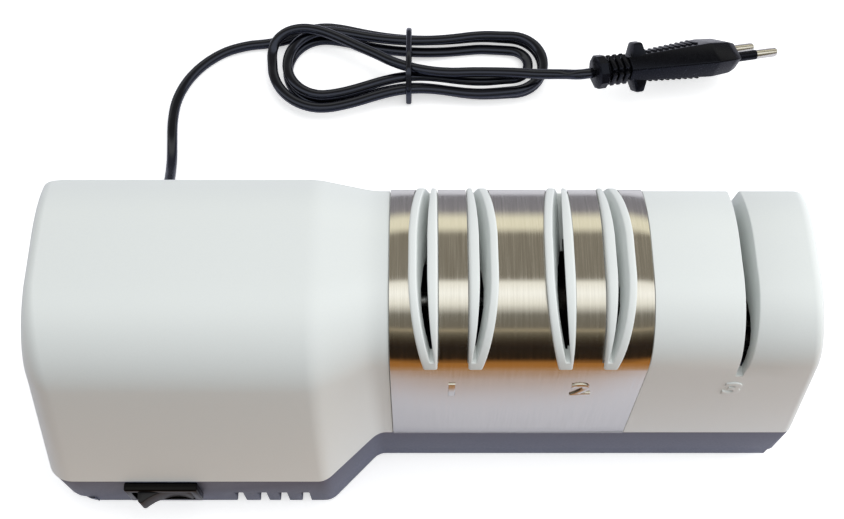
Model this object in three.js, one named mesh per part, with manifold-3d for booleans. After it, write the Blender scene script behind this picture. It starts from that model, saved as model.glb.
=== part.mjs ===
// Electric knife sharpener: a motor housing with two powered stages of leaning knife slots,
// a hand stage at the right end, and a mains lead tied in a hank behind it.
// Millimetres, +X to the hand stage, +Y to the back where the lead leaves, +Z up, floor at zero.
import * as THREE from "three";
import { mergeVertices } from "three/addons/utils/BufferGeometryUtils.js";
import Module from "manifold-3d";

const wasm = await Module();
wasm.setup();

// Driving sizes along the body, from the motor's end to the hand stage.
const motorLength = 95;
const transitionLength = 16.5;
const stageOneInset = 24.8;
const stagePitch = 40.7;
const handStagePitch = 47.8;
const postClear = 0.9;
const screwEndInset = 8.6;

// Driving sizes from front to back and upwards.
const frontStep = 17.2;
const frontRoom = 8;
const diskRadius = 22;
const backRoom = 14;
const backStep = 3;
const partingHeight = 29;
const shaftZ = 74;
const coreRadius = 21;
const motorHeadroom = 10.2;
const diskHeadroom = 6.8;

const transitionRadius = 6;
const shellWall = 2.5;
const baseWall = 2.2;
const baseFloor = 2.2;
const baseBottom = 2.5;
const gap = 0.3;
const overrun = 3;

// Sizes of the hand stage and of the screw posts that set the body's length.
const rollerRadius = 8;
const rollerOut = 5.4;
const holderWall = 2;
const postRadius = 4;
const holderHalfWidth = rollerOut + rollerRadius + gap + holderWall;

const motorDepth = frontStep + frontRoom + 2 * diskRadius + backRoom + backStep;
const motorCrest = shaftZ + coreRadius + motorHeadroom;
const rightCrest = shaftZ + diskRadius + diskHeadroom;
const handStageInset = holderHalfWidth + postClear + postRadius + screwEndInset;
const stageSpan = stageOneInset + stagePitch + handStagePitch;
const bodyLength = motorLength + transitionLength + stageSpan + handStageInset;
const endX = bodyLength / 2;
const transitionStart = -endX + motorLength;
const transitionEnd = transitionStart + transitionLength;

// Leans are angles from the vertical, in degrees.
const rightFrontLean = 4.2;
const motorFrontLean = 13;
const backLean = 6;
const rightEndLean = 5.9;
const leftEndLean = 6.9;

// Radii of the section that runs along the body, and of its end edges.
const rightFrontRadius = 22.6;
const motorFrontRadius = 28;
const crownRadius = 36;
const crownSweep = 36;
const backEdgeRadius = 4;
const leftFrontCornerRadius = 9;
const leftTopEdgeRadius = 3.5;
const rightFrontCornerRadius = 3;
const rightTopEdgeRadius = 3.5;

// Rocker switch.
const switchEndInset = 38.6;
const switchTopGap = 0.7;
const switchHeight = 14;
const switchWidth = 25.2;
const switchFlange = 3;
const switchBodyDepth = 16;
const switchBezelEdge = 2.4;
const rockerHalfLength = 8.6;
const rockerTipHeight = 6.8;
const rockerValleyHeight = 5;
const rockerPivotDepth = 2;
const rockerTilt = 12;
const rockerRootDepth = 2.5;
const rockerRootHalf = 4;
const switchX = -endX + switchEndInset;
const switchBottom = partingHeight - switchTopGap - switchHeight;

const rad = THREE.MathUtils.degToRad;
const tan = (degrees) => Math.tan(rad(degrees));
const sin = (degrees) => Math.sin(rad(degrees));
const cos = (degrees) => Math.cos(rad(degrees));

// The rocker's raised end is the foremost point, so it sets where the body stands in the frame.
const rockerStandOut =
  rockerTipHeight * cos(rockerTilt) + rockerHalfLength * sin(rockerTilt) - rockerPivotDepth;
const motorFront = rockerStandOut / 2 - motorDepth / 2;
const motorBack = motorFront + motorDepth;
const rightFront = motorFront + frontStep;
const rightBack = motorBack - backStep;

const white = { color: 0xe6e9e8, roughness: 0.42, metalness: 0 };
const steel = { color: 0xa9a69c, roughness: 0.3, metalness: 1 };
const greyPlastic = { color: 0x5b5d68, roughness: 0.55, metalness: 0 };
const blackPlastic = { color: 0x0c0c0e, roughness: 0.35, metalness: 0 };
const blackVinyl = { color: 0x141416, roughness: 0.4, metalness: 0 };
const rubber = { color: 0x1b1b1c, roughness: 0.85, metalness: 0 };
const darkSteel = { color: 0x6d6f72, roughness: 0.45, metalness: 1 };
const brightSteel = { color: 0xc9cacb, roughness: 0.25, metalness: 1 };
const copper = { color: 0xa8582a, roughness: 0.4, metalness: 1 };
const bronze = { color: 0x9a7440, roughness: 0.5, metalness: 1 };
const abrasive = { color: 0x4a4a4d, roughness: 0.9, metalness: 0.2 };
const creamPlastic = { color: 0xd9d2bd, roughness: 0.6, metalness: 0 };

const sharpener = new THREE.Group();

// A closed geometry as a solid that can be joined and cut, its faces turned outward.
function solid(geometry) {
  geometry.deleteAttribute("normal");
  geometry.deleteAttribute("uv");
  const merged = mergeVertices(geometry);
  const mesh = new wasm.Mesh({
    numProp: 3,
    vertProperties: merged.attributes.position.array,
    triVerts: new Uint32Array(merged.index.array),
  });
  const body = new wasm.Manifold(mesh);
  if (body.volume() > 0) return body;
  mesh.triVerts.reverse();
  return new wasm.Manifold(mesh);
}

function addPiece(name, body, look) {
  const mesh = body.getMesh();
  const geometry = new THREE.BufferGeometry();
  geometry.setAttribute("position", new THREE.BufferAttribute(mesh.vertProperties, 3));
  geometry.setIndex(new THREE.BufferAttribute(mesh.triVerts, 1));
  geometry.computeVertexNormals();
  const piece = new THREE.Mesh(geometry, new THREE.MeshStandardMaterial(look));
  piece.name = name;
  sharpener.add(piece);
}

function join(pieces) {
  return pieces.reduce((whole, piece) => whole.add(piece));
}

function box(x, y, z) {
  const geometry = new THREE.BoxGeometry(x[1] - x[0], y[1] - y[0], z[1] - z[0]);
  geometry.translate((x[0] + x[1]) / 2, (y[0] + y[1]) / 2, (z[0] + z[1]) / 2);
  return solid(geometry);
}

// Profiles of [radius, place along the axis] spun about X, Y or Z. A profile that doesn't start
// on the axis is closed on itself.
const axisTurns = {
  x: new THREE.Matrix4().makeRotationZ(-Math.PI / 2),
  y: new THREE.Matrix4(),
  z: new THREE.Matrix4().makeRotationX(Math.PI / 2),
};

function spun(profile, axis, centre, sides = 32) {
  const whole = profile[0][0] ? [...profile, profile[0]] : profile;
  const points = whole.map(([radius, along]) => new THREE.Vector2(radius, along));
  const geometry = new THREE.LatheGeometry(points, sides);
  geometry.applyMatrix4(axisTurns[axis]);
  geometry.translate(...centre);
  return solid(geometry);
}

function rod(radius, [from, to], axis, centre, sides = 32) {
  const profile = [
    [0, from],
    [radius, from],
    [radius, to],
    [0, to],
  ];
  return spun(profile, axis, centre, sides);
}

// Outlines pushed along an axis: x takes [y, z] points, y takes [x, z] points, z takes [x, y].
const pushTurns = {
  x: (from) => new THREE.Matrix4().set(0, 0, 1, from, 1, 0, 0, 0, 0, 1, 0, 0, 0, 0, 0, 1),
  y: (from, to) => new THREE.Matrix4().set(1, 0, 0, 0, 0, 0, -1, to, 0, 1, 0, 0, 0, 0, 0, 1),
  z: (from) => new THREE.Matrix4().makeTranslation(0, 0, from),
};

function pushed(points, axis, from, to, holes = []) {
  const shape = new THREE.Shape(points.map(([a, b]) => new THREE.Vector2(a, b)));
  shape.holes = holes.map((hole) => new THREE.Path(hole.map(([a, b]) => new THREE.Vector2(a, b))));
  const geometry = new THREE.ExtrudeGeometry(shape, { depth: to - from, bevelEnabled: false });
  geometry.applyMatrix4(pushTurns[axis](from, to));
  return solid(geometry);
}

// An outline of corners [a, b, radius], each rounded by an arc of short chords.
function rounded(corners, steps = 5) {
  const points = [];
  corners.forEach(([a, b, radius], i) => {
    const corner = new THREE.Vector2(a, b);
    const before = corners[(i + corners.length - 1) % corners.length];
    const after = corners[(i + 1) % corners.length];
    const back = new THREE.Vector2(before[0], before[1]).sub(corner).normalize();
    const on = new THREE.Vector2(after[0], after[1]).sub(corner).normalize();
    const half = Math.acos(THREE.MathUtils.clamp(back.dot(on), -1, 1)) / 2;
    if (!radius) {
      points.push([a, b]);
      return;
    }
    const reach = radius / Math.tan(half);
    const start = corner.clone().addScaledVector(back, reach);
    const middle = corner.clone().addScaledVector(back.clone().add(on).normalize(), radius / Math.sin(half));
    const first = start.clone().sub(middle);
    const sweep = Math.PI - 2 * half;
    const turn = Math.sign(back.cross(on)) * -1;
    for (let k = 0; k <= steps; k++) {
      const point = first.clone().rotateAround(new THREE.Vector2(), (turn * sweep * k) / steps);
      points.push([middle.x + point.x, middle.y + point.y]);
    }
  });
  return points;
}

// The outer section of the body in the YZ plane, from the front foot over the top to the back
// foot. Each point carries its inward direction, its share of the top edge's radius and its
// share of the way to the back.
function sectionPoints({ front, back, crest, frontLean, frontRadius }, foot) {
  const points = [];
  const put = (y, z, inward, top, rear) =>
    points.push({ y, z, inY: cos(inward), inZ: sin(inward), topShare: top, backShare: rear });
  const arc = (y, z, radius, [from, to], steps, tops, rears) => {
    for (let k = 0; k <= steps; k++) {
      const between = ([a, b]) => a + ((b - a) * k) / steps;
      const angle = between([from, to]);
      const at = [y + radius * cos(angle), z + radius * sin(angle)];
      put(...at, angle + 180, between(tops), between(rears));
    }
  };
  put(front + (foot - partingHeight) * tan(frontLean), foot, -frontLean, 0, 0);
  const frontZ = crest - frontRadius;
  const frontY = front + (frontZ - partingHeight) * tan(frontLean) + frontRadius / cos(frontLean);
  arc(frontY, frontZ, frontRadius, [180 - frontLean, 90], 7, [0, 1], [0, 0]);
  const reach = crownRadius * sin(crownSweep) + backEdgeRadius * (cos(backLean) - sin(crownSweep));
  const drop =
    crownRadius * (1 - cos(crownSweep)) + backEdgeRadius * (cos(crownSweep) - sin(backLean));
  const crownY = back - (crest - drop - partingHeight) * tan(backLean) - reach;
  arc(crownY, crest - crownRadius, crownRadius, [90, 90 - crownSweep], 5, [1, 1], [0, 1]);
  const edgeReach = crownRadius - backEdgeRadius;
  const edgeY = crownY + edgeReach * sin(crownSweep);
  const edgeZ = crest - crownRadius + edgeReach * cos(crownSweep);
  const edgeSteps = 4;
  const edgeStart = 90 - crownSweep - (90 - crownSweep - backLean) / edgeSteps;
  const edgeTopShares = [0.8, 0];
  arc(edgeY, edgeZ, backEdgeRadius, [edgeStart, backLean], edgeSteps - 1, edgeTopShares, [1, 1]);
  put(back - (foot - partingHeight) * tan(backLean), foot, 180 + backLean, 0, 1);
  return points;
}

const motorSection = {
  front: motorFront,
  back: motorBack,
  crest: motorCrest,
  frontLean: motorFrontLean,
  frontRadius: motorFrontRadius,
};
const rightSection = {
  front: rightFront,
  back: rightBack,
  crest: rightCrest,
  frontLean: rightFrontLean,
  frontRadius: rightFrontRadius,
};

// A straight slope whose two ends are eased by parabolas.
function eased(share) {
  const easeShare = 0.22;
  const slope = 1 / (1 - easeShare);
  if (share < easeShare) return (slope * share * share) / (2 * easeShare);
  if (share > 1 - easeShare) return 1 - (slope * (1 - share) ** 2) / (2 * easeShare);
  return slope * (share - easeShare / 2);
}

// The body's outer form moved in by inset at the front and by rearInset at the back (out where
// they are negative), closed, with its foot below the parting plane by one overrun.
function bodyForm(inset, rearInset = inset) {
  const foot = partingHeight - overrun;
  const motor = sectionPoints(motorSection, foot);
  const right = sectionPoints(rightSection, foot);
  const moved = (point, extra) => {
    const by = inset + (rearInset - inset) * point.backShare + extra;
    return { y: point.y + point.inY * by, z: point.z + point.inZ * by };
  };
  const rings = [];
  const endRing = (points, side, lean, cornerRadius, topRadius, turn) => {
    rings.push(
      points.map((point) => {
        const full = cornerRadius + (topRadius - cornerRadius) * point.topShare;
        const radius = Math.max(full - inset, inset > 0 ? gap : full);
        const at = moved(point, radius * (1 - cos(turn)));
        const wall = endX - inset / cos(lean) - (at.z - partingHeight) * tan(lean);
        return [side * (wall - radius * (1 - sin(turn))), at.y, at.z];
      }),
    );
  };
  const endSteps = 4;
  for (let k = endSteps; k >= 0; k--)
    endRing(motor, -1, leftEndLean, leftFrontCornerRadius, leftTopEdgeRadius, (90 * k) / endSteps);
  const slopeSpan = transitionEnd - transitionStart;
  const slopeOverlap = transitionRadius / 2;
  const slopeSteps = 8;
  for (let k = 0; k <= slopeSteps; k++) {
    const share = k / slopeSteps;
    const x = transitionStart - slopeOverlap + (slopeSpan + 2 * slopeOverlap) * share;
    rings.push(
      motor.map((point, i) => {
        const a = moved(point, 0);
        const b = moved(right[i], 0);
        const mix = eased(share);
        return [x, a.y + (b.y - a.y) * mix, a.z + (b.z - a.z) * mix];
      }),
    );
  }
  for (let k = 0; k <= endSteps; k++)
    endRing(right, 1, rightEndLean, rightFrontCornerRadius, rightTopEdgeRadius, (90 * k) / endSteps);
  const count = motor.length;
  const positions = rings.flat(2);
  const faces = [];
  for (let i = 0; i + 1 < rings.length; i++)
    for (let j = 0; j < count; j++) {
      const a = i * count + j;
      const b = i * count + ((j + 1) % count);
      faces.push(a, b, a + count, b, b + count, a + count);
    }
  const cap = (ring, flip) => {
    const outline = rings[ring].map(([, y, z]) => new THREE.Vector2(y, z));
    for (const [a, b, c] of THREE.ShapeUtils.triangulateShape(outline, [])) {
      const at = [a, b, c].map((corner) => ring * count + corner);
      faces.push(...(flip ? at.reverse() : at));
    }
  };
  cap(0, false);
  cap(rings.length - 1, true);
  const geometry = new THREE.BufferGeometry();
  geometry.setAttribute("position", new THREE.Float32BufferAttribute(positions, 3));
  geometry.setIndex(faces);
  return solid(geometry);
}

const wideX = [-bodyLength, bodyLength];
const wideY = [-bodyLength, bodyLength];
const aboveParting = (from) => box(wideX, wideY, [from, bodyLength]);

// The plan outline of the parting line, moved in by inset.
function planOutline(inset) {
  const shift = inset * tan(22.5);
  const left = -endX + inset;
  const right = endX - inset;
  return rounded([
    [left, motorFront + inset, leftFrontCornerRadius - inset],
    [transitionStart - shift, motorFront + inset, transitionRadius],
    [transitionEnd - shift, rightFront + inset, transitionRadius],
    [right, rightFront + inset, Math.max(rightFrontCornerRadius - inset, gap)],
    [right, rightBack - inset, leftFrontCornerRadius - inset],
    [transitionEnd, rightBack - inset, transitionRadius],
    [transitionStart, motorBack - inset, transitionRadius],
    [left, motorBack - inset, leftFrontCornerRadius - inset],
  ]);
}

// Knife slots: two leaning pairs, each mirrored about its stage's middle, and one upright slot.
const stageOneX = transitionEnd + stageOneInset;
const stageTwoX = stageOneX + stagePitch;
const stageThreeX = stageTwoX + handStagePitch;
const lipHeight = 2.8;
const lipRearHeight = 0.9;
const lipTop = rightCrest + lipHeight;
const slotFloorDrop = 17.8;
const slotTipWall = 2;
const guideDrop = 4;
const slotFloor = rightCrest - slotFloorDrop;
const rimFoot = slotFloor - slotTipWall;
const guideFoot = rimFoot - guideDrop;
const innerWallOut = 4.65;
const mouthInnerOut = 7.8;
const mouthOuterOut = 11.1;
const rimOuterOut = 13.6;
const innerMouthLean = 8.2;
const guideLean = 15;
const rimLean = 14;
const guideWall = 1.8;
const lipCoverGap = 0.3;
const shellThroughSlots = 3.4;

// Stainless cover.
const coverLeftReach = 19.1;
const coverRightReach = 18.8;
const coverLeft = stageOneX - coverLeftReach;
const coverRight = stageTwoX + coverRightReach;
const coverSheet = 0.6;
const coverRecess = 0.5;

// Shaft line and what turns on it.
const shaftY = rightFront + frontRoom + diskRadius;
const shaftRadius = 3;

// Tapered disks, the pins that drive them and the springs between them; "out" sizes are
// measured along the shaft from the middle of the stage.
const diskBackOut = 1.9;
const diskRimOut = 4;
const diskFaceOut = 5;
const diskFaceRadius = 10;
const diskHubRadius = 7;
const diskHubOut = 7.6;
const pinRadius = 1;
const pinOut = 6.2;
const pinHalfLength = 6;
const springRadius = 5;
const springWire = 0.9;
const springPocket = 2;
const springTurns = 4;

// Window that opens each knife slot to its disk.
const windowForward = 4;
const windowRise = 6;
const windowShy = 2.5;
const windowY = shaftY - windowForward;
const windowZ = shaftZ + windowRise;
const windowRadius = diskRadius - windowShy;

function rimOutline(centre, side, grow) {
  const lean = (z) => rimOuterOut + grow - (lipTop - z) * tan(rimLean);
  const foot = rimFoot - grow;
  const top = lipTop + overrun;
  return [
    [centre + side * (innerWallOut - grow), foot],
    [centre + side * lean(foot), foot],
    [centre + side * lean(top), top],
    [centre + side * (innerWallOut - grow), top],
  ];
}

function guideOutline(centre, side) {
  const lean = (z) => rimOuterOut - (lipTop - z) * tan(rimLean);
  return [
    [centre + side * (innerWallOut - guideWall), guideFoot],
    [centre + side * (lean(guideFoot) + guideWall), guideFoot],
    [centre + side * lean(lipTop), lipTop],
    [centre + side * innerWallOut, lipTop],
  ];
}

function mouthOutline(centre, side) {
  const inner = (z) => mouthInnerOut - (lipTop - z) * tan(innerMouthLean);
  const outer = (z) => mouthOuterOut - (lipTop - z) * tan(guideLean);
  const top = lipTop + overrun;
  return [
    [centre + side * inner(slotFloor), slotFloor],
    [centre + side * outer(slotFloor), slotFloor],
    [centre + side * outer(top), top],
    [centre + side * inner(top), top],
  ];
}

const slots = [];
for (const centre of [stageOneX, stageTwoX])
  for (const side of [-1, 1]) slots.push([centre, side]);

// Third stage: an upright slot that narrows downwards, over two interleaved rollers.
const handSlotTopHalf = 2.1;
const handSlotFloorHalf = 1.2;
const handSlotDrop = 25.8;
const handGuideHalf = 4.2;
const handGuideWall = 2;
const rollerDrop = 4;
const handSlotFloor = rightCrest - handSlotDrop;
const handGuideFoot = handSlotFloor - handGuideWall;
const rollerZ = handGuideFoot - rollerDrop;
const rollerBandCount = 4;
const rollerBand = 2.2;
const rollerBandGap = 0.5;
const rollerHubRadius = 2.4;
const axleRadius = 1.3;
const holderForward = 3;
const holderY = shaftY - holderForward;
const rollerLength = rollerBandCount * (2 * rollerBand + 2 * rollerBandGap);
const holderHalfLength = rollerLength / 2 + gap + holderWall;

// Housing screws and the posts that take them.
const screwX = endX - screwEndInset;
const screwInset = 17;
const bossRadius = 4.6;
const screwShank = 1.5;
const screwHead = 3;
const screwHeadHeight = 1.9;
const screwHeadTop = 18;
const screwBite = 11;
const screwPlaces = {
  front_left: [-screwX, motorFront + screwInset],
  back_left: [-screwX, motorBack - screwInset],
  front_right: [screwX, rightFront + screwInset],
  back_right: [screwX, rightBack - screwInset],
};

// White upper housing: outer form less its hollow, slot rims, guides and screw posts.
const cornerForm = bodyForm(0);
const throughForm = bodyForm(shellThroughSlots);
const hollowForm = bodyForm(shellWall);
const lipForm = bodyForm(-lipHeight, -lipRearHeight);
const guideBacking = 1;
const backing = bodyForm(guideBacking);

const slotGuides = slots.map(([centre, side]) =>
  pushed(guideOutline(centre, side), "y", ...wideY).intersect(backing),
);
const slotRims = slots.map(([centre, side]) =>
  pushed(rimOutline(centre, side, 0), "y", ...wideY).intersect(lipForm),
);
const handGuide = box(
  [stageThreeX - handGuideHalf, stageThreeX + handGuideHalf],
  wideY,
  [handGuideFoot, rightCrest],
).intersect(backing);
const posts = Object.values(screwPlaces).map(([x, y]) =>
  rod(postRadius, [partingHeight, motorCrest], "z", [x, y, 0], 16).intersect(backing),
);
const slotSkin = box([coverLeft, coverRight], wideY, [guideFoot, rightCrest])
  .intersect(cornerForm)
  .subtract(throughForm);

const windowCut = join([
  rod(diskRadius + 3 * gap, [coverLeft, coverRight], "x", [0, shaftY, shaftZ], 32),
  rod(windowRadius, [coverLeft, coverRight], "x", [0, windowY, windowZ], 32),
  box([coverLeft, coverRight], [rightFront, windowY], [windowZ, lipTop]),
  box([coverLeft, coverRight], [rightFront, windowY + windowRadius], [shaftZ, windowZ]),
]).intersect(throughForm);

const rollerRunningGap = 1.2;
const handWindowSpare = 1;
const rollerClear = rollerRadius + rollerRunningGap;
const handWindow = box(
  [stageThreeX - 2 * handGuideHalf, stageThreeX + 2 * handGuideHalf],
  [holderY - holderHalfLength - handWindowSpare, holderY + holderHalfLength + handWindowSpare],
  [handGuideFoot - overrun, rollerZ + rollerClear],
);
const mouths = slots.map(([centre, side]) =>
  pushed(mouthOutline(centre, side), "y", ...wideY),
);
const handHalf = (z) =>
  handSlotFloorHalf +
  ((handSlotTopHalf - handSlotFloorHalf) * (z - handSlotFloor)) / (rightCrest - handSlotFloor);
const handTop = rightCrest + overrun;
const handSlot = pushed(
  [
    [stageThreeX - handSlotFloorHalf, handSlotFloor],
    [stageThreeX + handSlotFloorHalf, handSlotFloor],
    [stageThreeX + handHalf(handTop), handTop],
    [stageThreeX - handHalf(handTop), handTop],
  ],
  "y",
  ...wideY,
);
const recessBand = box(
  [coverLeft - gap, coverRight + gap],
  wideY,
  [partingHeight - overrun, bodyLength],
).subtract(bodyForm(coverRecess));
const pilots = Object.values(screwPlaces).map(([x, y]) =>
  rod(
    screwShank + gap,
    [partingHeight - overrun, partingHeight + screwBite + overrun],
    "z",
    [x, y, 0],
    12,
  ),
);

let upperHousing = cornerForm.subtract(hollowForm).add(slotSkin).subtract(recessBand);
upperHousing = join([upperHousing, ...slotGuides, handGuide, ...posts]);
upperHousing = upperHousing.subtract(windowCut).subtract(handWindow);
upperHousing = join([upperHousing, ...slotRims.map((rim) => rim.subtract(hollowForm))]);
for (const cut of [...mouths, handSlot, ...pilots]) upperHousing = upperHousing.subtract(cut);
upperHousing = upperHousing.intersect(aboveParting(partingHeight));
addPiece("upper_housing", upperHousing, white);

// Stainless cover: a folded sheet with one cut-out round each rim.
let cover = bodyForm(coverRecess - gap - coverSheet)
  .subtract(bodyForm(coverRecess - gap))
  .intersect(box([coverLeft, coverRight], wideY, [partingHeight + gap, bodyLength]));
for (const [centre, side] of slots)
  cover = cover.subtract(pushed(rimOutline(centre, side, lipCoverGap), "y", ...wideY));
addPiece("stainless_cover", cover, steel);

// Feet in shallow recesses of the base floor.
const footRadius = 6;
const footHeight = 3.2;
const footRecess = 1;
const footInset = 10;
const footLeftInset = 27;
const footRightInset = 24;
const footPlaces = {
  front_left: [-endX + footLeftInset, motorFront + footInset],
  back_left: [-endX + footLeftInset, motorBack - footInset],
  front_right: [endX - footRightInset, rightFront + footInset],
  back_right: [endX - footRightInset, rightBack - footInset],
};
for (const [place, [x, y]] of Object.entries(footPlaces))
  addPiece("foot_" + place, rod(footRadius, [0, footHeight], "z", [x, y, 0], 24), rubber);

// Grey base: a tray with vents, switch and lead holes, bosses, and rests for what it carries.
const baseTop = partingHeight - gap;
const endLedge = 2.7;
const endLedgeHeight = 7.5;
const ventInsets = [32.2, 24, 16.8, 9];
const ventXs = ventInsets.map((inset) => transitionStart - inset);
const ventWidth = 3;
const ventTop = 13.5;
const ventReach = 8;
const reliefEndInset = 27.5;
const reliefX = -endX + reliefEndInset;
const reliefZ = 16;
const reliefNeck = 4.6;
const reliefFlange = 7;
const reliefFlangeThickness = 2;
const reliefTail = 19;
const reliefTailEnd = 3.4;
const switchBodyInset = 1.5;

// Motor: closed lamination loop with the rotor bore at the top and the coil on its foot.
const coreEndInset = 35;
const coreStack = 24;
const coreX = [-endX + coreEndInset, -endX + coreEndInset + coreStack];
const coreHalfWidth = coreRadius;
const coreDrop = 44;
const coreBottom = shaftZ - coreDrop;
const limb = 9.5;
const boreRadius = 13.2;
const coreWindowDrop = 21;
const coreWindowTop = shaftZ - coreWindowDrop;
const bobbinWall = 1.2;
const coilThickness = 7;
const bobbinPlay = 1;
const coilHalfLength = coreHalfWidth - limb - bobbinWall - bobbinPlay;

const cleanoutLeftInset = 10.7;
const cleanoutRightInset = 6;
const cleanoutX = [stageOneX + cleanoutLeftInset, stageTwoX - cleanoutRightInset];
const cleanoutHalf = 14;
const cleanoutY = [shaftY - cleanoutHalf, shaftY + cleanoutHalf];
const cleanoutLip = 1.4;
const cleanoutTab = 9;
const cleanoutScrewTip = 12;
const shaftPostLength = 6;
const shaftPostGap = 3.1;
const shaftPostRight = stageThreeX - holderHalfWidth - shaftPostGap;
const shaftPostX = [shaftPostRight - shaftPostLength, shaftPostRight];
const shaftPostHalf = 9;

const baseOuter = pushed(planOutline(0), "z", baseBottom, baseTop);
const baseInner = pushed(planOutline(baseWall), "z", baseBottom + baseFloor, bodyLength);
const floorTop = baseBottom + baseFloor;
const bosses = Object.values(screwPlaces).map(([x, y]) =>
  rod(bossRadius, [baseBottom, baseTop], "z", [x, y, 0], 24),
);
const coreRests = [-1, 1].map((side) =>
  box(
    coreX,
    side < 0
      ? [shaftY - coreHalfWidth, shaftY - coreHalfWidth + limb - gap]
      : [shaftY + coreHalfWidth - limb + gap, shaftY + coreHalfWidth],
    [baseBottom + gap, coreBottom - gap],
  ),
);
const holderFoot = rollerZ - rollerRadius - gap - holderWall;
const holderRests = [-1, 1].map((side) =>
  box(
    [stageThreeX - rollerOut, stageThreeX + rollerOut],
    [holderY + side * (holderHalfLength - holderWall) - holderWall,
     holderY + side * (holderHalfLength - holderWall) + holderWall],
    [baseBottom + gap, holderFoot - gap],
  ),
);
const shaftPost = join([
  box(shaftPostX, [shaftY - shaftPostHalf, shaftY + shaftPostHalf], [baseBottom + gap, shaftZ]),
  rod(shaftPostHalf, shaftPostX, "x", [0, shaftY, shaftZ], 32),
]);
const cleanoutPlate = [
  [cleanoutX[0] - cleanoutTab, cleanoutX[1] + cleanoutLip],
  [cleanoutY[0] - cleanoutLip, cleanoutY[1] + cleanoutLip],
];
const grown = ([low, high], by) => [low - by, high + by];
const cleanoutScrewX = cleanoutX[0] - cleanoutTab / 2;
const cleanoutFrame = box(
  grown(cleanoutPlate[0], cleanoutLip),
  grown(cleanoutPlate[1], cleanoutLip),
  [baseBottom + gap, floorTop + baseFloor],
).add(
  rod(postRadius, [floorTop, cleanoutScrewTip + overrun], "z", [cleanoutScrewX, shaftY, 0], 16),
);
const switchInner = [
  [switchX - switchWidth / 2 + switchBodyInset, switchX + switchWidth / 2 - switchBodyInset],
  [switchBottom + switchBodyInset, switchBottom + switchHeight - switchBodyInset],
];
const bushRadius = 5.5;

let base = join([
  baseOuter.subtract(baseInner),
  ...bosses,
  ...coreRests,
  ...holderRests,
  shaftPost,
  cleanoutFrame,
]);
const baseCuts = [
  box([-bodyLength, -endX + endLedge], wideY, [0, endLedgeHeight]),
  box([endX - endLedge, bodyLength], wideY, [0, endLedgeHeight]),
  box(
    grown(switchInner[0], gap),
    [motorFront - overrun, motorFront + baseWall + overrun],
    grown(switchInner[1], gap),
  ),
  rod(
    reliefNeck + gap,
    [motorBack - baseWall - overrun, motorBack + overrun],
    "y",
    [reliefX, 0, reliefZ],
    24,
  ),
  rod(
    bushRadius + gap,
    [shaftPostX[0] - overrun, shaftPostX[1] + overrun],
    "x",
    [0, shaftY, shaftZ],
    24,
  ),
  box(cleanoutX, cleanoutY, [0, bodyLength / 4]),
  box(...cleanoutPlate, [0, floorTop]),
  rod(
    screwShank + gap,
    [0, cleanoutScrewTip + gap],
    "z",
    [cleanoutScrewX, shaftY, 0],
    12,
  ),
  ...ventXs.map((x) =>
    box(
      [x - ventWidth / 2, x + ventWidth / 2],
      [motorFront - overrun, motorFront + ventReach],
      [0, ventTop],
    ),
  ),
  ...Object.values(footPlaces).map(([x, y]) =>
    rod(footRadius + gap, [0, baseBottom + footRecess], "z", [x, y, 0], 24),
  ),
  ...Object.values(screwPlaces).map(([x, y]) =>
    rod(screwHead + 2 * gap, [0, screwHeadTop], "z", [x, y, 0], 24),
  ),
  ...Object.values(screwPlaces).map(([x, y]) =>
    rod(screwShank + gap, [0, partingHeight], "z", [x, y, 0], 12),
  ),
];
for (const cut of baseCuts) base = base.subtract(cut);
addPiece("base_housing", base, greyPlastic);

// A screw along +axis: its head from headFoot, its shank on to the tip.
function screw(headFoot, tip, shankRadius, axis, centre) {
  const headTop = headFoot + screwHeadHeight;
  const profile = [
    [0, headFoot],
    [screwHead, headFoot],
    [screwHead, headTop],
    [shankRadius, headTop],
    [shankRadius, tip],
    [0, tip],
  ];
  return spun(profile, axis, centre, 12);
}

for (const [place, [x, y]] of Object.entries(screwPlaces))
  addPiece(
    "housing_screw_" + place,
    screw(
      screwHeadTop - gap - screwHeadHeight,
      partingHeight + screwBite,
      screwShank,
      "z",
      [x, y, 0],
    ),
    brightSteel,
  );

// Clean-out cover, seated in the floor under the disks, with one screw into its frame.
const cleanoutZ = [baseBottom + gap / 2, floorTop - gap];
addPiece(
  "cleanout_cover",
  box(grown(cleanoutPlate[0], -gap), grown(cleanoutPlate[1], -gap), cleanoutZ).subtract(
    rod(screwShank + gap, [0, floorTop], "z", [cleanoutScrewX, shaftY, 0], 12),
  ),
  greyPlastic,
);
addPiece(
  "cleanout_screw",
  screw(
    cleanoutZ[0] - gap - screwHeadHeight,
    cleanoutScrewTip,
    screwShank,
    "z",
    [cleanoutScrewX, shaftY, 0],
  ),
  brightSteel,
);

// Switch: bezel and body in one moulding, open at the front for the rocker.
const switchTop = switchBottom + switchHeight;
const switchSpan = [switchX - switchWidth / 2, switchX + switchWidth / 2];
const cavityX = [switchSpan[0] + switchBezelEdge, switchSpan[1] - switchBezelEdge];
const cavityZ = [switchBottom + switchBezelEdge, switchTop - switchBezelEdge];
const cavityDepth = rockerPivotDepth + Math.hypot(rockerRootHalf, rockerRootDepth) + gap;
addPiece(
  "switch_body",
  box(switchSpan, [motorFront - switchFlange, motorFront - gap], [switchBottom, switchTop])
    .add(
      box(
        switchInner[0],
        [motorFront - switchFlange, motorFront + switchBodyDepth],
        switchInner[1],
      ),
    )
    .subtract(box(cavityX, [motorFront - switchFlange - overrun, motorFront + cavityDepth], cavityZ)),
  blackPlastic,
);

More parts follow.
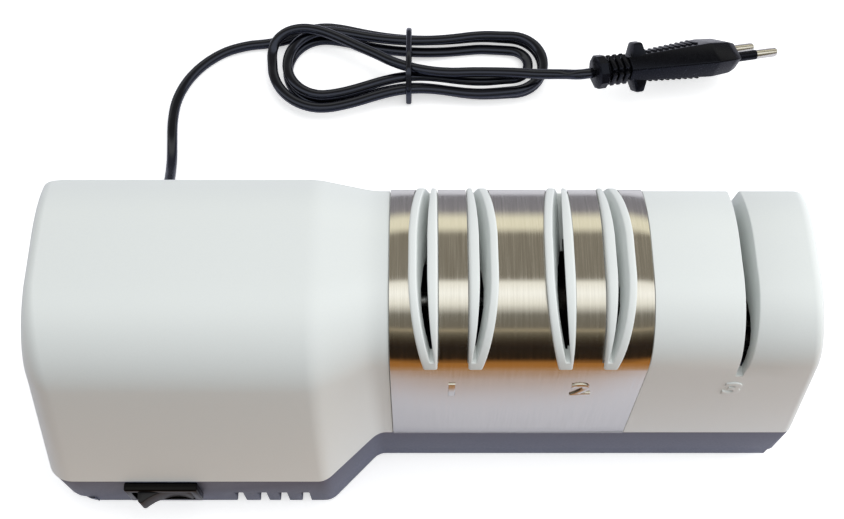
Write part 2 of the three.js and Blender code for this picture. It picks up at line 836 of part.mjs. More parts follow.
// Rocker, tipped so that its left end stands out; it turns about an upright pin line.
const rockerPivotY = motorFront + rockerPivotDepth;
const rockerOutline = [
  [-rockerHalfLength, -rockerTipHeight],
  [0, -rockerValleyHeight],
  [rockerHalfLength, -rockerTipHeight],
  [rockerHalfLength + gap, 0],
  [rockerRootHalf, rockerRootDepth],
  [-rockerRootHalf, rockerRootDepth],
  [-rockerHalfLength - gap, 0],
].map(([x, y]) => {
  const turned = new THREE.Vector2(x, y).rotateAround(new THREE.Vector2(), rad(rockerTilt));
  return [switchX + turned.x, rockerPivotY + turned.y];
});
addPiece(
  "switch_rocker",
  pushed(rockerOutline, "z", cavityZ[0] + gap, cavityZ[1] - gap),
  blackPlastic,
);

// Motor core, bobbin and coil.
function ringOf(outer, inner, axis, from, to) {
  return pushed(outer, axis, from, to).subtract(pushed(inner, axis, from - overrun, to + overrun));
}
const coreFootRadius = 2;
const coreOutline = rounded([
  [shaftY - coreHalfWidth, coreBottom, coreFootRadius],
  [shaftY + coreHalfWidth, coreBottom, coreFootRadius],
  [shaftY + coreHalfWidth, shaftZ + coreRadius, coreRadius - gap],
  [shaftY - coreHalfWidth, shaftZ + coreRadius, coreRadius - gap],
]);
const coreWindow = [
  [shaftY - coreHalfWidth + limb, coreBottom + limb],
  [shaftY + coreHalfWidth - limb, coreBottom + limb],
  [shaftY + coreHalfWidth - limb, coreWindowTop],
  [shaftY - coreHalfWidth + limb, coreWindowTop],
];
const motorScrewRadius = 1.6;
const motorScrewOut = 16.6;
const motorScrewYs = { front: shaftY - motorScrewOut, back: shaftY + motorScrewOut };
let core = pushed(coreOutline, "x", ...coreX)
  .subtract(pushed(coreWindow, "x", coreX[0] - overrun, coreX[1] + overrun))
  .subtract(rod(boreRadius, [coreX[0] - overrun, coreX[1] + overrun], "x", [0, shaftY, shaftZ], 40));
for (const y of Object.values(motorScrewYs))
  core = core.subtract(
    rod(motorScrewRadius + gap, [coreX[0] - overrun, coreX[1] + overrun], "x", [0, y, shaftZ], 12),
  );
addPiece("motor_core", core, darkSteel);

function limbSleeve(clear, thickness) {
  const x = [coreX[0] - clear, coreX[1] + clear];
  const z = [coreBottom - clear, coreBottom + limb + clear];
  return [grown(x, thickness), grown(z, thickness), x, z];
}
const bobbinFlange = coilThickness + bobbinWall - gap;
const coilSpan = [shaftY - coilHalfLength, shaftY + coilHalfLength];
const [bobbinX, bobbinZ, bobbinInX, bobbinInZ] = limbSleeve(gap, bobbinWall);
let bobbin = box(bobbinX, coilSpan, bobbinZ);
for (const side of [-1, 1]) {
  const at = shaftY + side * coilHalfLength;
  const [x, z] = limbSleeve(gap, bobbinFlange);
  bobbin = bobbin.add(box(x, [at - bobbinWall / 2, at + bobbinWall / 2], z));
}
bobbin = bobbin.subtract(box(bobbinInX, wideY, bobbinInZ));
addPiece("coil_bobbin", bobbin, creamPlastic);
const coilY = [coilSpan[0] + bobbinWall / 2 + gap, coilSpan[1] - bobbinWall / 2 - gap];
const [coilX, coilZ, coilInX, coilInZ] = limbSleeve(
  gap + bobbinWall + gap,
  coilThickness - 3 * gap,
);
addPiece(
  "motor_coil",
  box(coilX, coilY, coilZ).subtract(box(coilInX, wideY, coilInZ)),
  copper,
);

// Brackets carry the shaft bushes on both sides of the core.
const airGap = 0.6;
const rotorOverhang = 4;
const rotorRadius = boreRadius - airGap;
const rotorX = grown(coreX, rotorOverhang);
const bracketSheet = 2.5;
const bracketOut = 9;
const bracketLimb = 6.4;
const bushLength = 8;
const brackets = {
  left: [coreX[0] - bracketOut - bracketSheet, coreX[0] - bracketOut],
  right: [coreX[1] + bracketOut, coreX[1] + bracketOut + bracketSheet],
};
const bushSpans = {};
for (const [place, span] of Object.entries(brackets)) {
  const side = place === "left" ? -1 : 1;
  const legs = Object.values(motorScrewYs).map((y) =>
    rod(
      bracketLimb / 2,
      side < 0 ? [span[0], coreX[0] - gap] : [coreX[1] + gap, span[1]],
      "x",
      [0, y, shaftZ],
      20,
    ),
  );
  const plate = box(
    span,
    [motorScrewYs.front, motorScrewYs.back],
    [shaftZ - bracketLimb / 2, shaftZ + bracketLimb / 2],
  );
  const middle = (span[0] + span[1]) / 2;
  bushSpans[place] = [middle - bushLength / 2, middle + bushLength / 2];
  const hub = rod(bushRadius + bracketSheet, span, "x", [0, shaftY, shaftZ], 32);
  let bracket = join([plate, hub, ...legs]).subtract(
    rod(bushRadius + gap, [span[0] - overrun, span[1] + overrun], "x", [0, shaftY, shaftZ], 24),
  );
  for (const y of Object.values(motorScrewYs))
    bracket = bracket.subtract(
      rod(
        motorScrewRadius + gap,
        [span[0] - 2 * bracketOut, span[1] + 2 * bracketOut],
        "x",
        [0, y, shaftZ],
        12,
      ),
    );
  addPiece("motor_bracket_" + place, bracket, darkSteel);
}

function bush(span) {
  return rod(bushRadius, span, "x", [0, shaftY, shaftZ], 24).subtract(
    rod(
      shaftRadius + gap,
      [span[0] - overrun, span[1] + overrun],
      "x",
      [0, shaftY, shaftZ],
      24,
    ),
  );
}
addPiece("bearing_bush_left", bush(bushSpans.left), bronze);
addPiece("bearing_bush_right", bush(bushSpans.right), bronze);
addPiece("shaft_end_bush", bush(shaftPostX), bronze);

// Through screws hold both brackets to the core.
for (const [place, y] of Object.entries(motorScrewYs)) {
  const body = screw(
    brackets.left[0] - gap - screwHeadHeight,
    brackets.right[1] + overrun,
    motorScrewRadius,
    "x",
    [0, y, shaftZ],
  );
  addPiece("motor_screw_" + place, body, brightSteel);
}

// Rotor and fan, both clear of the shaft by the fitting gap.
const shaftEndInset = 13.5;
const shaftLeft = -endX + shaftEndInset;
const shaftOverhang = 2;
const shaftRight = shaftPostX[1] + shaftOverhang;
addPiece(
  "motor_rotor",
  rod(rotorRadius, rotorX, "x", [0, shaftY, shaftZ], 32).subtract(
    rod(shaftRadius + gap, [rotorX[0] - overrun, rotorX[1] + overrun], "x", [0, shaftY, shaftZ], 24),
  ),
  darkSteel,
);
const fanLength = 6;
const fanPitch = 8;
const fanX = [shaftLeft, shaftLeft + fanLength];
const fanRadius = 18;
const fanHub = 7;
const fanBlades = 7;
const fanSheet = 1.4;
let fan = rod(fanHub, fanX, "x", [0, shaftY, shaftZ], 24);
for (let k = 0; k < fanBlades; k++) {
  const blade = new THREE.BoxGeometry(fanX[1] - fanX[0], fanRadius - fanHub / 2, fanSheet);
  blade.rotateY(rad(fanPitch));
  blade.translate(0, (fanRadius + fanHub / 2) / 2, 0);
  blade.rotateX((2 * Math.PI * k) / fanBlades);
  blade.translate((fanX[0] + fanX[1]) / 2, shaftY, shaftZ);
  fan = fan.add(solid(blade));
}
fan = fan
  .intersect(box(fanX, wideY, [0, bodyLength]))
  .subtract(
    rod(shaftRadius + gap, [fanX[0] - overrun, fanX[1] + overrun], "x", [0, shaftY, shaftZ], 24),
  );
addPiece("cooling_fan", fan, creamPlastic);

// Tapered disks: two to a stage, pushed apart by a spring against drive pins in the shaft.
const pinPlaces = [];
for (const [stage, centre] of Object.entries({ one: stageOneX, two: stageTwoX }))
  for (const [name, side] of Object.entries({ left: -1, right: 1 })) {
    const at = (out) => centre + side * out;
    const bore = shaftRadius + gap;
    const pocket = springRadius + springWire + gap;
    const profile = [
      [bore, at(diskHubOut)],
      [bore, at(diskBackOut + springPocket)],
      [pocket, at(diskBackOut + springPocket)],
      [pocket, at(diskBackOut)],
      [diskRadius, at(diskBackOut)],
      [diskRadius, at(diskRimOut)],
      [diskFaceRadius, at(diskFaceOut)],
      [diskHubRadius, at(diskFaceOut)],
      [diskHubRadius, at(diskHubOut)],
    ];
    let disk = spun(profile, "x", [0, shaftY, shaftZ], 24);
    const grooveX = [at(pinOut - pinRadius - gap), at(diskHubOut + overrun)].sort((a, b) => a - b);
    disk = disk.subtract(
      box(
        grooveX,
        [shaftY - diskHubRadius - overrun, shaftY + diskHubRadius + overrun],
        [shaftZ - pinRadius - gap, shaftZ + pinRadius + gap],
      ),
    );
    addPiece("abrasive_disk_" + stage + "_" + name, disk, abrasive);
    pinPlaces.push(at(pinOut));
    addPiece(
      "drive_pin_" + stage + "_" + name,
      rod(pinRadius, [shaftY - pinHalfLength, shaftY + pinHalfLength], "y", [at(pinOut), 0, shaftZ], 12),
      brightSteel,
    );
  }

// Springs: one unbroken wire each, wound by a formula between the two disk pockets.
function wireAlong(centreOf, steps, sides, radius) {
  const points = Array.from({ length: steps + 1 }, (unused, k) => centreOf(k / steps));
  const positions = [];
  points.forEach((point, k) => {
    const ahead = points[Math.min(k + 1, steps)];
    const behind = points[Math.max(k - 1, 0)];
    const along = ahead.clone().sub(behind).normalize();
    const out = new THREE.Vector3(0, point.y - shaftY, point.z - shaftZ).normalize();
    const across = along.clone().cross(out).normalize();
    const up = across.clone().cross(along);
    for (let j = 0; j < sides; j++) {
      const turn = (2 * Math.PI * j) / sides;
      const at = point.clone().addScaledVector(up, radius * Math.cos(turn));
      at.addScaledVector(across, radius * Math.sin(turn));
      positions.push(at.x, at.y, at.z);
    }
  });
  return tubeOf(positions, steps, sides);
}

// Rings of points closed into a tube with flat ends.
function tubeOf(positions, steps, sides) {
  const faces = [];
  for (let k = 0; k < steps; k++)
    for (let j = 0; j < sides; j++) {
      const a = k * sides + j;
      const b = k * sides + ((j + 1) % sides);
      faces.push(a, b, a + sides, b, b + sides, a + sides);
    }
  for (let j = 1; j + 1 < sides; j++) {
    faces.push(0, j + 1, j);
    const last = steps * sides;
    faces.push(last, last + j, last + j + 1);
  }
  const geometry = new THREE.BufferGeometry();
  geometry.setAttribute("position", new THREE.Float32BufferAttribute(positions, 3));
  geometry.setIndex(faces);
  return solid(geometry);
}

for (const [stage, centre] of Object.entries({ one: stageOneX, two: stageTwoX })) {
  const halfLength = diskBackOut + springPocket - gap - springWire / 2;
  const winding = (share) => {
    const turn = 2 * Math.PI * springTurns * share;
    return new THREE.Vector3(
      centre + halfLength * (2 * share - 1),
      shaftY + springRadius * Math.cos(turn),
      shaftZ + springRadius * Math.sin(turn),
    );
  };
  addPiece("disk_spring_" + stage, wireAlong(winding, 8 * springTurns, 5, springWire / 2), brightSteel);
}

let shaft = rod(shaftRadius, [shaftLeft, shaftRight], "x", [0, shaftY, shaftZ], 24);
for (const x of pinPlaces)
  shaft = shaft.subtract(
    rod(pinRadius + gap, [shaftY - 2 * shaftRadius, shaftY + 2 * shaftRadius], "y", [x, 0, shaftZ], 12),
  );
addPiece("drive_shaft", shaft, brightSteel);

// Hand stage: holder, two rollers whose bands pass between each other, and their axles.
const holderTop = rollerZ + axleRadius + 2 * holderWall;
let holder = box(
  [stageThreeX - holderHalfWidth, stageThreeX + holderHalfWidth],
  [holderY - holderHalfLength, holderY + holderHalfLength],
  [holderFoot, holderTop],
).subtract(
  box(
    grown([stageThreeX - holderHalfWidth, stageThreeX + holderHalfWidth], -holderWall),
    grown([holderY - holderHalfLength, holderY + holderHalfLength], -holderWall),
    [holderFoot + holderWall, bodyLength],
  ),
);
for (const [name, side] of Object.entries({ left: -1, right: 1 })) {
  const x = stageThreeX + side * rollerOut;
  const axle = [holderY - holderHalfLength, holderY + holderHalfLength];
  holder = holder.subtract(rod(axleRadius + gap, grown(axle, overrun), "y", [x, 0, rollerZ], 12));
  const pitch = 2 * (rollerBand + rollerBandGap);
  const start = holderY - rollerLength / 2 + (side < 0 ? rollerBandGap / 2 : pitch / 2 + rollerBandGap / 2);
  const bands = Array.from({ length: rollerBandCount }, (unused, k) =>
    rod(rollerRadius, [start + pitch * k, start + pitch * k + rollerBand], "y", [x, 0, rollerZ], 16),
  );
  const hub = rod(
    rollerHubRadius,
    [holderY - rollerLength / 2, holderY + rollerLength / 2],
    "y",
    [x, 0, rollerZ],
    16,
  );
  addPiece(
    "hand_roller_" + name,
    join([hub, ...bands]).subtract(rod(axleRadius + gap, wideY, "y", [x, 0, rollerZ], 12)),
    abrasive,
  );
  addPiece("roller_axle_" + name, rod(axleRadius, axle, "y", [x, 0, rollerZ], 12), brightSteel);
}
addPiece("roller_holder", holder, blackPlastic);

// Strain relief through the back wall of the base.
const reliefOut = motorBack + gap + reliefFlangeThickness + reliefTail;
addPiece(
  "cord_strain_relief",
  spun(
    [
      [0, motorBack - baseWall - 2 * gap],
      [reliefNeck, motorBack - baseWall - 2 * gap],
      [reliefNeck, motorBack + gap],
      [reliefFlange, motorBack + gap],
      [reliefFlange, motorBack + gap + reliefFlangeThickness],
      [reliefNeck, motorBack + gap + reliefFlangeThickness],
      [reliefTailEnd, reliefOut],
      [0, reliefOut],
    ],
    "y",
    [reliefX, 0, reliefZ],
    16,
  ),
  blackVinyl,
);

// Wires inside: from the strain relief to the switch, and from the switch to the coil.
function tubeAlong(points, section, steps) {
  const path = new THREE.CatmullRomCurve3(points, false, "centripetal");
  const geometry = new THREE.ExtrudeGeometry(section, {
    steps,
    extrudePath: path,
    bevelEnabled: false,
  });
  return { body: solid(geometry), length: path.getLength() };
}
function roundSection(radius, sides) {
  const corners = Array.from({ length: sides }, (unused, j) => {
    const turn = (2 * Math.PI * j) / sides;
    return new THREE.Vector2(radius * Math.cos(turn), radius * Math.sin(turn));
  });
  return new THREE.Shape(corners);
}
const toVectors = (points) => points.map((point) => new THREE.Vector3(...point));
const wireRadius = 1.1;
const terminalHalf = 4;
const terminalY = motorFront + switchBodyDepth + gap;
const terminalZ = switchBottom + switchHeight / 2;
// Each wire bends on its way between its two ends: rows of [share of the way in Y, then how far
// the bend stands off the straight line in X and Z].
const wireRuns = {
  wire_to_switch: {
    from: [reliefX, motorBack - baseWall - 3 * gap, reliefZ],
    to: [switchX - terminalHalf, terminalY, terminalZ],
    bendShares: [0.09, 0.26, 0.53, 0.78, 0.92, 0.96],
    bends: [
      [-0.6, -0.8],
      [-6.3, -5.3],
      [-10.2, -9.6],
      [-9, -9.9],
      [-2.4, -4.6],
      [0.3, -0.8],
    ],
  },
  wire_to_coil: {
    from: [switchX + terminalHalf, terminalY, terminalZ],
    to: [coilX[1] + 2 * gap, shaftY, coreBottom + limb / 2],
    bendShares: [0.12, 0.19, 0.28, 0.5, 0.83, 0.99],
    bends: [
      [-3, -1.6],
      [2.8, -4.6],
      [12.5, -5.9],
      [16.5, -3.9],
      [10.1, -1.4],
      [3.8, 0],
    ],
  },
};
const wireRoutes = {};
for (const [name, { from, to, bendShares, bends }] of Object.entries(wireRuns))
  wireRoutes[name] = [
    from,
    ...bends.map(([x, z], k) => {
      const between = from.map((a, i) => a + (to[i] - a) * bendShares[k]);
      return [between[0] + x, between[1], between[2] + z];
    }),
    to,
  ];
for (const [name, points] of Object.entries(wireRoutes))
  addPiece(name, tubeAlong(toVectors(points), roundSection(wireRadius, 6), 24).body, blackVinyl);

// Mains lead: its hank lies behind the body, tied at the waist.
const cordWidth = 5.4;
const cordThickness = 3.5;
const leftLobe = { x: -40.5, y: 143.55, radius: 21.6 };
const rightLobe = { x: 37, y: 144.8, radius: 16.3 };
const waistX = -5.5;
const waistReach = 34;
const waistPinch = 4.6;
const strandPitch = 6.2;
const layerPitch = 4.1;
const firstLayer = cordThickness / 2 + 0.1;
const tieLift = 1.4;
const tieReach = 24;
const hankStart = 0.09;
const hankReverse = 1.5;
const hankClimb = [1.35, 1.65];
const hankTurns = 3;
const lobeShare = 0.26;
const stepsPerLoop = 24;

// The hank's middle line. Turns run clockwise from the left end; each turn lies one strand
// further in up to the reverse, then the next layer comes out again.
function hankPoint(turns) {
  const wayIn = Math.min(turns, 2 * hankReverse - turns) - hankStart;
  const inset = strandPitch * wayIn;
  const share = turns % 1;
  const quarter = lobeShare / 2;
  const at = new THREE.Vector3();
  if (share <= quarter || share >= 1 - quarter) {
    const angle = (Math.PI / 2) * ((share > quarter ? share - 1 : share) / quarter);
    at.x = leftLobe.x - (leftLobe.radius - inset) * Math.cos(angle);
    at.y = leftLobe.y + (leftLobe.radius - inset) * Math.sin(angle);
  } else if (Math.abs(share - 0.5) <= quarter) {
    const angle = (Math.PI / 2) * ((share - 0.5) / quarter);
    at.x = rightLobe.x + (rightLobe.radius - inset) * Math.cos(angle);
    at.y = rightLobe.y - (rightLobe.radius - inset) * Math.sin(angle);
  } else {
    const far = share < 0.5;
    const run = ((far ? share : 1 - share) - quarter) / (0.5 - lobeShare);
    const between = (a, b) => a + (b - a) * run;
    at.x = between(leftLobe.x, rightLobe.x);
    const pinch = waistPinch * Math.max(0, 1 - ((at.x - waistX) / waistReach) ** 2) ** 2;
    const half = between(leftLobe.radius, rightLobe.radius) - inset - pinch;
    at.y = between(leftLobe.y, rightLobe.y) + (far ? half : -half);
  }
  const climb = THREE.MathUtils.smoothstep(turns, hankClimb[0], hankClimb[1]);
  const lift = tieLift * Math.max(0, 1 - ((at.x - waistX) / tieReach) ** 2) ** 2;
  at.z = firstLayer + layerPitch * climb + lift;
  return at;
}

function flatRing(point, along, sides) {
  const side = new THREE.Vector3(-along.y, along.x, 0).normalize();
  return Array.from({ length: sides }, (unused, j) => {
    const turn = (2 * Math.PI * j) / sides;
    const at = point.clone().addScaledVector(side, (cordWidth / 2) * Math.cos(turn));
    at.z += (cordThickness / 2) * Math.sin(turn);
    return at;
  });
}

// Both ends run straight for one cord width.
function hankLine(perLoop) {
  const steps = Math.round((hankTurns - hankStart) * perLoop);
  const points = Array.from({ length: steps + 1 }, (unused, k) =>
    hankPoint(hankStart + ((hankTurns - hankStart) * k) / steps),
  );
  const before = points[0].clone().sub(points[1]).setZ(0).normalize();
  const after = points[steps].clone().sub(points[steps - 1]).setZ(0).normalize();
  const first = points[0].clone().addScaledVector(before, cordWidth);
  const last = points[steps].clone().addScaledVector(after, cordWidth);
  return [first, ...points, last];
}

function hankRings(perLoop, sides) {
  const line = hankLine(perLoop);
  const count = line.length;
  return line.map((point, k) => {
    const ahead = line[Math.min(k + 1, count - 1)];
    const behind = line[Math.max(k - 1, 0)];
    const along = k === 1 ? point.clone().sub(behind) : ahead.clone().sub(behind);
    if (k === count - 2) along.copy(ahead).sub(point);
    return flatRing(point, along, sides);
  });
}

const hankSides = 6;
const rings = hankRings(stepsPerLoop, hankSides);
addPiece(
  "cord_hank",
  tubeOf(
    rings.flat().flatMap((at) => [at.x, at.y, at.z]),
    rings.length - 1,
    hankSides,
  ),
  blackVinyl,
);

function leastGap() {
  const fine = 3;
  const near = (stepsPerLoop * fine) / 4;
  const samples = hankRings(stepsPerLoop * fine, 2 * hankSides);
  let least = Infinity;
  for (let a = 0; a < samples.length; a++)
    for (let b = a + near; b < samples.length; b++)
      for (const p of samples[a])
        for (const q of samples[b]) least = Math.min(least, p.distanceTo(q));
  return least;
}
console.log("cord hank: least gap to itself " + leastGap().toFixed(2) + " mm");

// The lead and the tail: routes chosen by hand, meeting the hank's straight ends.
const cordSection = roundSection((cordWidth + cordThickness) / 4, 10);
const line = hankLine(stepsPerLoop);
const hankEntry = line[0];
const hankExit = line[line.length - 1];
const entryWay = line[0].clone().sub(line[1]).normalize();
const exitWay = hankExit.clone().sub(line[line.length - 2]).normalize();
const cordFloor = 2.5;
const leadPoints = [
  [-99.5, 73.5, 15.2],
  [-99.7, 80, 12.6],
  [-100.2, 87, 8.9],
  [-100.9, 94, 5.5],
  [-101.6, 101, 3.3],
  [-102.4, 108.5, cordFloor],
  [-103, 118, cordFloor],
  [-102.2, 128, cordFloor],
  [-98.6, 137.6, cordFloor],
  [-92.2, 146, cordFloor],
  [-83.6, 152.4, cordFloor],
  [-74.4, 155.6, cordFloor],
  [-65.8, 156.8, cordFloor],
];
const reliefEnd = new THREE.Vector3(reliefX, reliefOut + gap, reliefZ);
const lead = tubeAlong(
  [
    reliefEnd,
    ...toVectors(leadPoints),
    hankEntry.clone().addScaledVector(entryWay, cordWidth + gap).setZ(cordFloor),
    hankEntry.clone().addScaledVector(entryWay, gap).setZ(cordFloor),
  ],
  cordSection,
  24,
);
addPiece("cord_lead", lead.body, blackVinyl);

// Moulded plug: collar, ribbed relief, wings and a tapered six-sided grip, standing on edge.
const plugAt = new THREE.Vector3(69.4, 130.5, 19.3);
const plugYaw = 14;
const plugRoll = 132.6;
const plugPitch = 7.7;
const collarLength = 6.6;
const collarRadius = 7;
const reliefLength = 9.7;
const plugReliefRadius = 4.6;
const wingLength = 6;
const wingHalf = 10.4;
const wingThickness = 8;
const gripLength = 46;
const gripStartHalf = [6.5, 5];
const gripEndHalf = [15.5, 6.9];
const faceHalf = [13.5, 5.6];
const gripShoulderShare = 0.7;
const pinGap = 18.6;
const plugPinRadius = 2;
const plugPinLength = 16;

const plugTurn = new THREE.Matrix4()
  .makeTranslation(...plugAt)
  .multiply(new THREE.Matrix4().makeRotationZ(rad(plugYaw)))
  .multiply(new THREE.Matrix4().makeRotationY(rad(plugPitch)))
  .multiply(new THREE.Matrix4().makeRotationX(rad(plugRoll)));

function hexagon(x, [half, thick]) {
  return [
    [x, -half, 0],
    [x, -half / 2, -thick],
    [x, half / 2, -thick],
    [x, half, 0],
    [x, half / 2, thick],
    [x, -half / 2, thick],
  ];
}
const gripStart = collarLength + reliefLength;
const gripRings = [
  hexagon(gripStart, gripStartHalf),
  hexagon(gripStart + gripLength * gripShoulderShare, gripEndHalf),
  hexagon(gripStart + gripLength, faceHalf),
];
const grip = tubeOf(gripRings.flat(2), gripRings.length - 1, 6);
const plugBody = join([
  rod(collarRadius, [0, collarLength], "x", [0, 0, 0], 24),
  rod(plugReliefRadius, [collarLength - gap, gripStart + gap], "x", [0, 0, 0], 20),
  box(
    [gripStart - gap, gripStart + wingLength],
    [-wingThickness / 2, wingThickness / 2],
    [-wingHalf, wingHalf],
  ),
  grip,
]).transform(plugTurn.elements);
addPiece("plug_body", plugBody, blackVinyl);
for (const [name, side] of Object.entries({ upper: 1, lower: -1 })) {
  const pin = spun(
    [
      [0, gripStart + gripLength + gap],
      [plugPinRadius, gripStart + gripLength + gap],
      [plugPinRadius, gripStart + gripLength + plugPinLength - plugPinRadius / 2],
      [plugPinRadius / 2, gripStart + gripLength + plugPinLength],
      [0, gripStart + gripLength + plugPinLength],
    ],
    "x",
    [0, (side * pinGap) / 2, 0],
    16,
  );
  addPiece("plug_pin_" + name, pin.transform(plugTurn.elements), brightSteel);
}

const tailPoints = [
  [-61.4, 153.6, 8.2],
  [-57, 157.2, 9.8],
  [-50.6, 158.6, 10.7],
  [-43, 157.4, 10.8],
  [-35, 154, 10.8],
  [-27, 149.6, 11],
  [-19.4, 145.4, 11.6],
  [-12.4, 141.2, 12.1],
  [-5.5, 138.4, 12.2],
  [3.5, 136.3, 12.2],
  [12, 135.7, 12],
  [21.2, 136, 11.8],
  [30, 135.8, 12],
  [38, 135, 12.4],
  [47.4, 133.4, 13.6],
  [57.2, 131.6, 15.8],
];
const plugEntry = new THREE.Vector3(-gap, 0, 0).applyMatrix4(plugTurn);
const plugNear = new THREE.Vector3(-gap - cordWidth, 0, 0).applyMatrix4(plugTurn);
const tail = tubeAlong(
  [
    hankExit.clone().addScaledVector(exitWay, gap),
    hankExit.clone().addScaledVector(exitWay, gap + cordWidth),
    ...toVectors(tailPoints),
    plugNear,
    plugEntry,
  ],
  cordSection,
  28,
);
addPiece("cord_tail", tail.body, blackVinyl);

// Tie: a band drawn round every strand at the waist and over the tail.
const tieWidth = 2.4;
const tieThickness = 1.2;
const tieInner = [
  [127.4, 1.4, 1],
  [161, 1.4, 1],
  [161, 6, 1],
  [157.6, 9.8, 2],
  [142.4, 15, 2],
  [134.4, 15, 2],
  [127.4, 9.8, 2],
];
const tieOuter = tieInner.map(([y, z, radius], i) => {
  const count = tieInner.length;
  const edge = (from, to) =>
    new THREE.Vector2(to[1] - from[1], from[0] - to[0]).normalize();
  const before = edge(tieInner[(i + count - 1) % count], tieInner[i]);
  const after = edge(tieInner[i], tieInner[(i + 1) % count]);
  const out = before.clone().add(after).normalize();
  out.multiplyScalar(tieThickness / out.dot(before));
  return [y + out.x, z + out.y, radius + tieThickness];
});
addPiece(
  "cord_tie",
  ringOf(rounded(tieOuter), rounded(tieInner), "x", waistX - tieWidth / 2, waistX + tieWidth / 2),
  blackVinyl,
);

let hankLength = 0;
const fineLine = hankLine(4 * stepsPerLoop);
for (let k = 1; k < fineLine.length; k++) hankLength += fineLine[k].distanceTo(fineLine[k - 1]);
console.log("cord length " + (lead.length + hankLength + tail.length).toFixed(1) + " mm");

export default sharpener;
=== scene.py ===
# Electric knife sharpener in a plain studio, dressed round its CAD frame.
# Sections follow the real one as it is put together, each in millimetres until its piece is made.
from math import asin, copysign, cos, pi, radians, sin, tan

import bmesh
import bpy
from mathutils import Matrix, Vector


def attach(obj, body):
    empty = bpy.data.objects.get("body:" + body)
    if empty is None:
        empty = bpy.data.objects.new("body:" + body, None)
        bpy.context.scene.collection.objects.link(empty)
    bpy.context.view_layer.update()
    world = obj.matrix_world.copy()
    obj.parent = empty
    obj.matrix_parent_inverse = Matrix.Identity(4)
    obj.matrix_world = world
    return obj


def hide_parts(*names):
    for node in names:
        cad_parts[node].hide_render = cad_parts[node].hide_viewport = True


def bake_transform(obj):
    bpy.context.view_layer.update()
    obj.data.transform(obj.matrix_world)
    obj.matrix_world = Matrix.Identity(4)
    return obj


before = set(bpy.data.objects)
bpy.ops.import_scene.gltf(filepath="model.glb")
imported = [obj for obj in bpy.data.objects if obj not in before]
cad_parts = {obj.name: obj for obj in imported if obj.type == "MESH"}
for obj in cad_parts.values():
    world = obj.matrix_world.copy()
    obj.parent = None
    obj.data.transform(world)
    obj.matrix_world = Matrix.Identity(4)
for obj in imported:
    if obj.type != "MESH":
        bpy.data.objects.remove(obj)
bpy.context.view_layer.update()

scene = bpy.context.scene
scene.view_settings.view_transform = "Standard"

# Camera: a long lens above and in front of the sharpener, looking down at 65 degrees. It was
# fitted to the photograph, so all of the sharpener and its lead are in the picture.
PHOTO_WIDTH = 844
FOCAL_PIXELS = 1200


def add_object(name, data):
    """An object of that name and data, in the scene."""
    added = bpy.data.objects.new(name, data)
    scene.collection.objects.link(added)
    return added


camera_data = bpy.data.cameras.new("camera")
camera_data.lens = camera_data.sensor_width * FOCAL_PIXELS / PHOTO_WIDTH
camera_data.clip_start = 0.01
scene.camera = camera = add_object("camera", camera_data)
camera.location = (0, -0.14173, 0.4282)
camera.rotation_euler = (radians(90 - 65.2), 0, 0)

# Mains lead: a flat twin cord in soft black PVC, extruded with rounded edges. It leaves the
# strain relief, lies on the worktop, is wound in a hank of three turns in two layers, and then
# rises over the hank to the plug.
CORD_WIDTH = 4.2
CORD_THICKNESS = 3.3
STRAND_PITCH = 6.2
LAYER_PITCH = 4.1
FIRST_LAYER = CORD_THICKNESS / 2 + 0.1
HANK_START = 0.09
HANK_REVERSE = 1.5
HANK_CLIMB = (1.35, 1.65)
HANK_TURNS = 3
LOBE_SHARE = 0.26
LEFT_LOBE = (-40.5, 143.55, 21.6)
RIGHT_LOBE = (37, 144.8, 16.3)
WAIST_X = -5.5
WAIST_REACH = 34
WAIST_PINCH = 4.6
TIE_LIFT = 1.4
TIE_REACH = 24
RELIEF_X = -99.5
RELIEF_Z = 16
RELIEF_END = 67.6
# The lead comes down from the relief, and then lies on the worktop up to the hank.
LEAD_POINTS = [(RELIEF_X, RELIEF_END, RELIEF_Z), (RELIEF_X, 73.5, 15.2), (-99.7, 80, 12.6)]
LEAD_POINTS += [(-100.2, 87, 8.9), (-100.9, 94, 5.3), (-101.6, 101, 2.9)]
LEAD_FLAT = [(-102.4, 108.5), (-103, 118), (-102.2, 128), (-98.6, 137.6), (-92.2, 146)]
LEAD_FLAT += [(-83.6, 152.4), (-74.4, 155.6), (-65.8, 156.8), (-57.6, 158.8)]
LEAD_POINTS += [(x, y, FIRST_LAYER) for x, y in LEAD_FLAT]
TAIL_POINTS = [(-62.9, 149, 6.4), (-61.4, 153.6, 8), (-57, 157.2, 9.5), (-50.6, 158.6, 10.2)]
TAIL_POINTS += [(-43, 157.4, 10.3), (-35, 154, 10.3), (-27, 149.6, 10.5), (-19.4, 145.4, 11)]
TAIL_POINTS += [(-12.4, 141.2, 11.5), (-5.5, 138.4, 11.7), (3.5, 136.3, 11.7), (12, 135.7, 11.5)]
TAIL_POINTS += [(21.2, 136, 11.4), (30, 135.8, 11.6), (38, 135, 12.4), (47.4, 133.4, 13.9)]
TAIL_POINTS += [(57.2, 131.6, 16.5)]
PLUG_TURN = (
    Matrix.Translation((69.4, 130.5, 19.3))
    @ Matrix.Rotation(radians(14), 4, "Z")
    @ Matrix.Rotation(radians(7.7), 4, "Y")
    @ Matrix.Rotation(radians(132.6), 4, "X")
)


